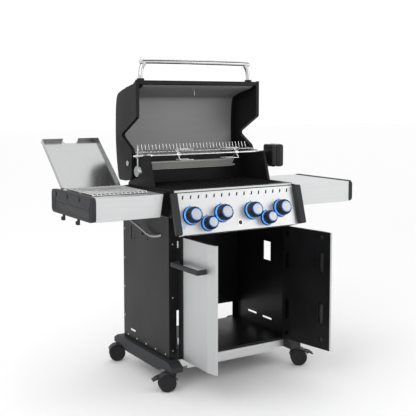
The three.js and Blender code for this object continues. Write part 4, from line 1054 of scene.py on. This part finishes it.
# ---------------------------------------------------------------- side burner hose
# Grey reinforced gas hose from the side burner's inlet down through the cart's side to the
# manifold.
hose_grey = painted("hose_grey", (0.3, 0.31, 0.32), (0.42, 0.43, 0.44), 0.55, 500, 0.0004)
HOSE_ROUTE = (
    (-433, 332, 833), (-424, 332, 833), (-414, 330, 818), (-410, 328, 784), (-390, 312, 744),
    (-366, 262, 712), (-362, 205, 692), (-360, 158, 684), (-352, 124, 686), (-338, 108, 690),
    (-322, 92, 700), (-310, 66, 728), (-306, 34, 758),
)
HOSE_RADIUS = 0.0058
hose = tube_through("gas_hose", eased([behind(*spot) for spot in HOSE_ROUTE], 6), HOSE_RADIUS, 16)
dressed(hose, hose_grey, "cart")
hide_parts("side_burner_hose")

# ---------------------------------------------------------------- ignition button and panel marks
# Black push button in a bright collar, a small lit ring at the panel's lower left corner,
# and printed setting marks over each knob.
panel_out = Vector(joint("knob_burner_1_turn")["axis"]).normalized()
panel_up = (Vector((0, 0, 1)) - panel_out * panel_out.z).normalized()
PANEL_TOP = behind(0, -7.6, 889.3)
PANEL_SHEET = 0.003
MARK_LIFT = PANEL_SHEET + 0.0002


def on_panel(x, down):
    """Place on the panel's face, in millimetres across and down the slope from its top edge."""
    return PANEL_TOP + Vector((x / 1000, 0, 0)) - panel_up * down / 1000 + panel_out * PANEL_SHEET


BUTTON_DOWN = 152
button = turned_piece(
    "push_button",
    [(0, -0.0145), (0.0098, -0.0145), (0.0099, 0.0018), (0.009, 0.0034), (0.007, 0.0039),
     (0.003, 0.0033), (0, 0.003)],
    on_panel(-4, BUTTON_DOWN), panel_out, 40,
)
dressed(button, bezel_black, "button")
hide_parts("ignition_button")
collar = turned_piece(
    "button_collar",
    [(0.0108, 0.0002), (0.014, 0.0002), (0.014, 0.0012), (0.013, 0.0024), (0.0112, 0.0024),
     (0.0108, 0.0018), (0.0108, 0.0002)],
    on_panel(-4, BUTTON_DOWN), panel_out, 40,
)
dressed(collar, chrome, "cart")
lamp = turned_piece(
    "lamp_ring",
    [(0.0052, 0.0002), (0.0078, 0.0002), (0.0076, 0.0012), (0.0054, 0.0012), (0.0052, 0.0002)],
    on_panel(-306, BUTTON_DOWN), panel_out, 32,
)
dressed(lamp, blue_mark, "cart")
for knob, size in KNOB_SCALES.items():
    middle = Vector(joint(f"knob_{knob}_turn")["pos_m"])
    marks = bmesh.new()
    face = (middle, panel_out, panel_up)
    inner, short, tall = (reach * size for reach in (0.0445, 0.0475, 0.0505))
    ray_marks(marks, face, (-62, -44, -27, 27, 44, 62), (inner, short), 0.0005, MARK_LIFT)
    ray_marks(marks, face, (0,), (inner, tall), 0.0011, MARK_LIFT)
    dressed(mesh_object(f"setting_marks_{knob}", marks), dark_moulding, "cart")

# ---------------------------------------------------------------- bolts and screws
# Zinc-plated domed bolts hold the cart's sheets together and the shelves to the cart.
def bolt(name, place, axis, radius):
    """Domed zinc head, sunk a hair into the sheet that it holds."""
    rows = [
        (0, -0.0002), (radius, -0.0002), (radius, 0.0003), (radius * 0.8, 0.0011),
        (radius * 0.4, 0.0016), (0, 0.0017),
    ]
    obj = turned_piece(name, rows, place, axis, 16)
    obj.data.materials.append(zinc)
    return obj


for name, place, axis, radius, count, step in (
    ("floor_bolts_left", behind(-340, 60, 148), (-1, 0, 0), 0.0045, 5, (0, 0.095, 0)),
    ("floor_bolts_right", behind(340, 60, 148), (1, 0, 0), 0.0045, 5, (0, 0.095, 0)),
    ("back_bolts_left", behind(-340, 473, 240), (-1, 0, 0), 0.004, 4, (0, 0, 0.145)),
    ("back_bolts_right", behind(340, 473, 240), (1, 0, 0), 0.004, 4, (0, 0, 0.145)),
    ("rear_panel_bolts_left", behind(-326, 485, 250), (0, 1, 0), 0.004, 4, (0, 0, 0.14)),
    ("rear_panel_bolts_right", behind(326, 485, 250), (0, 1, 0), 0.004, 4, (0, 0, 0.14)),
    ("post_bolts_left", behind(-320, 24, 170), (0, -1, 0), 0.0035, 3, (0, 0, 0.245)),
    ("post_bolts_right", behind(320, 24, 170), (0, -1, 0), 0.0035, 3, (0, 0, 0.245)),
    ("shelf_screws_left", behind(-420, 0, 804), (0, -1, 0), 0.003, 2, (0, 0, 0.072)),
    ("rear_shelf_screws_left", behind(-430, 452, 806), (0, 1, 0), 0.0035, 2, (0, 0, 0.07)),
    ("rear_shelf_screws_right", behind(430, 452, 806), (0, 1, 0), 0.0035, 2, (0, 0, 0.07)),
    ("tub_bolts_rear", behind(-300, 411, 925), (0, 1, 0), 0.004, 6, (0.12, 0, 0)),
):
    row_of(bolt(name, place, axis, radius), count, step, zinc, "cart")

import json
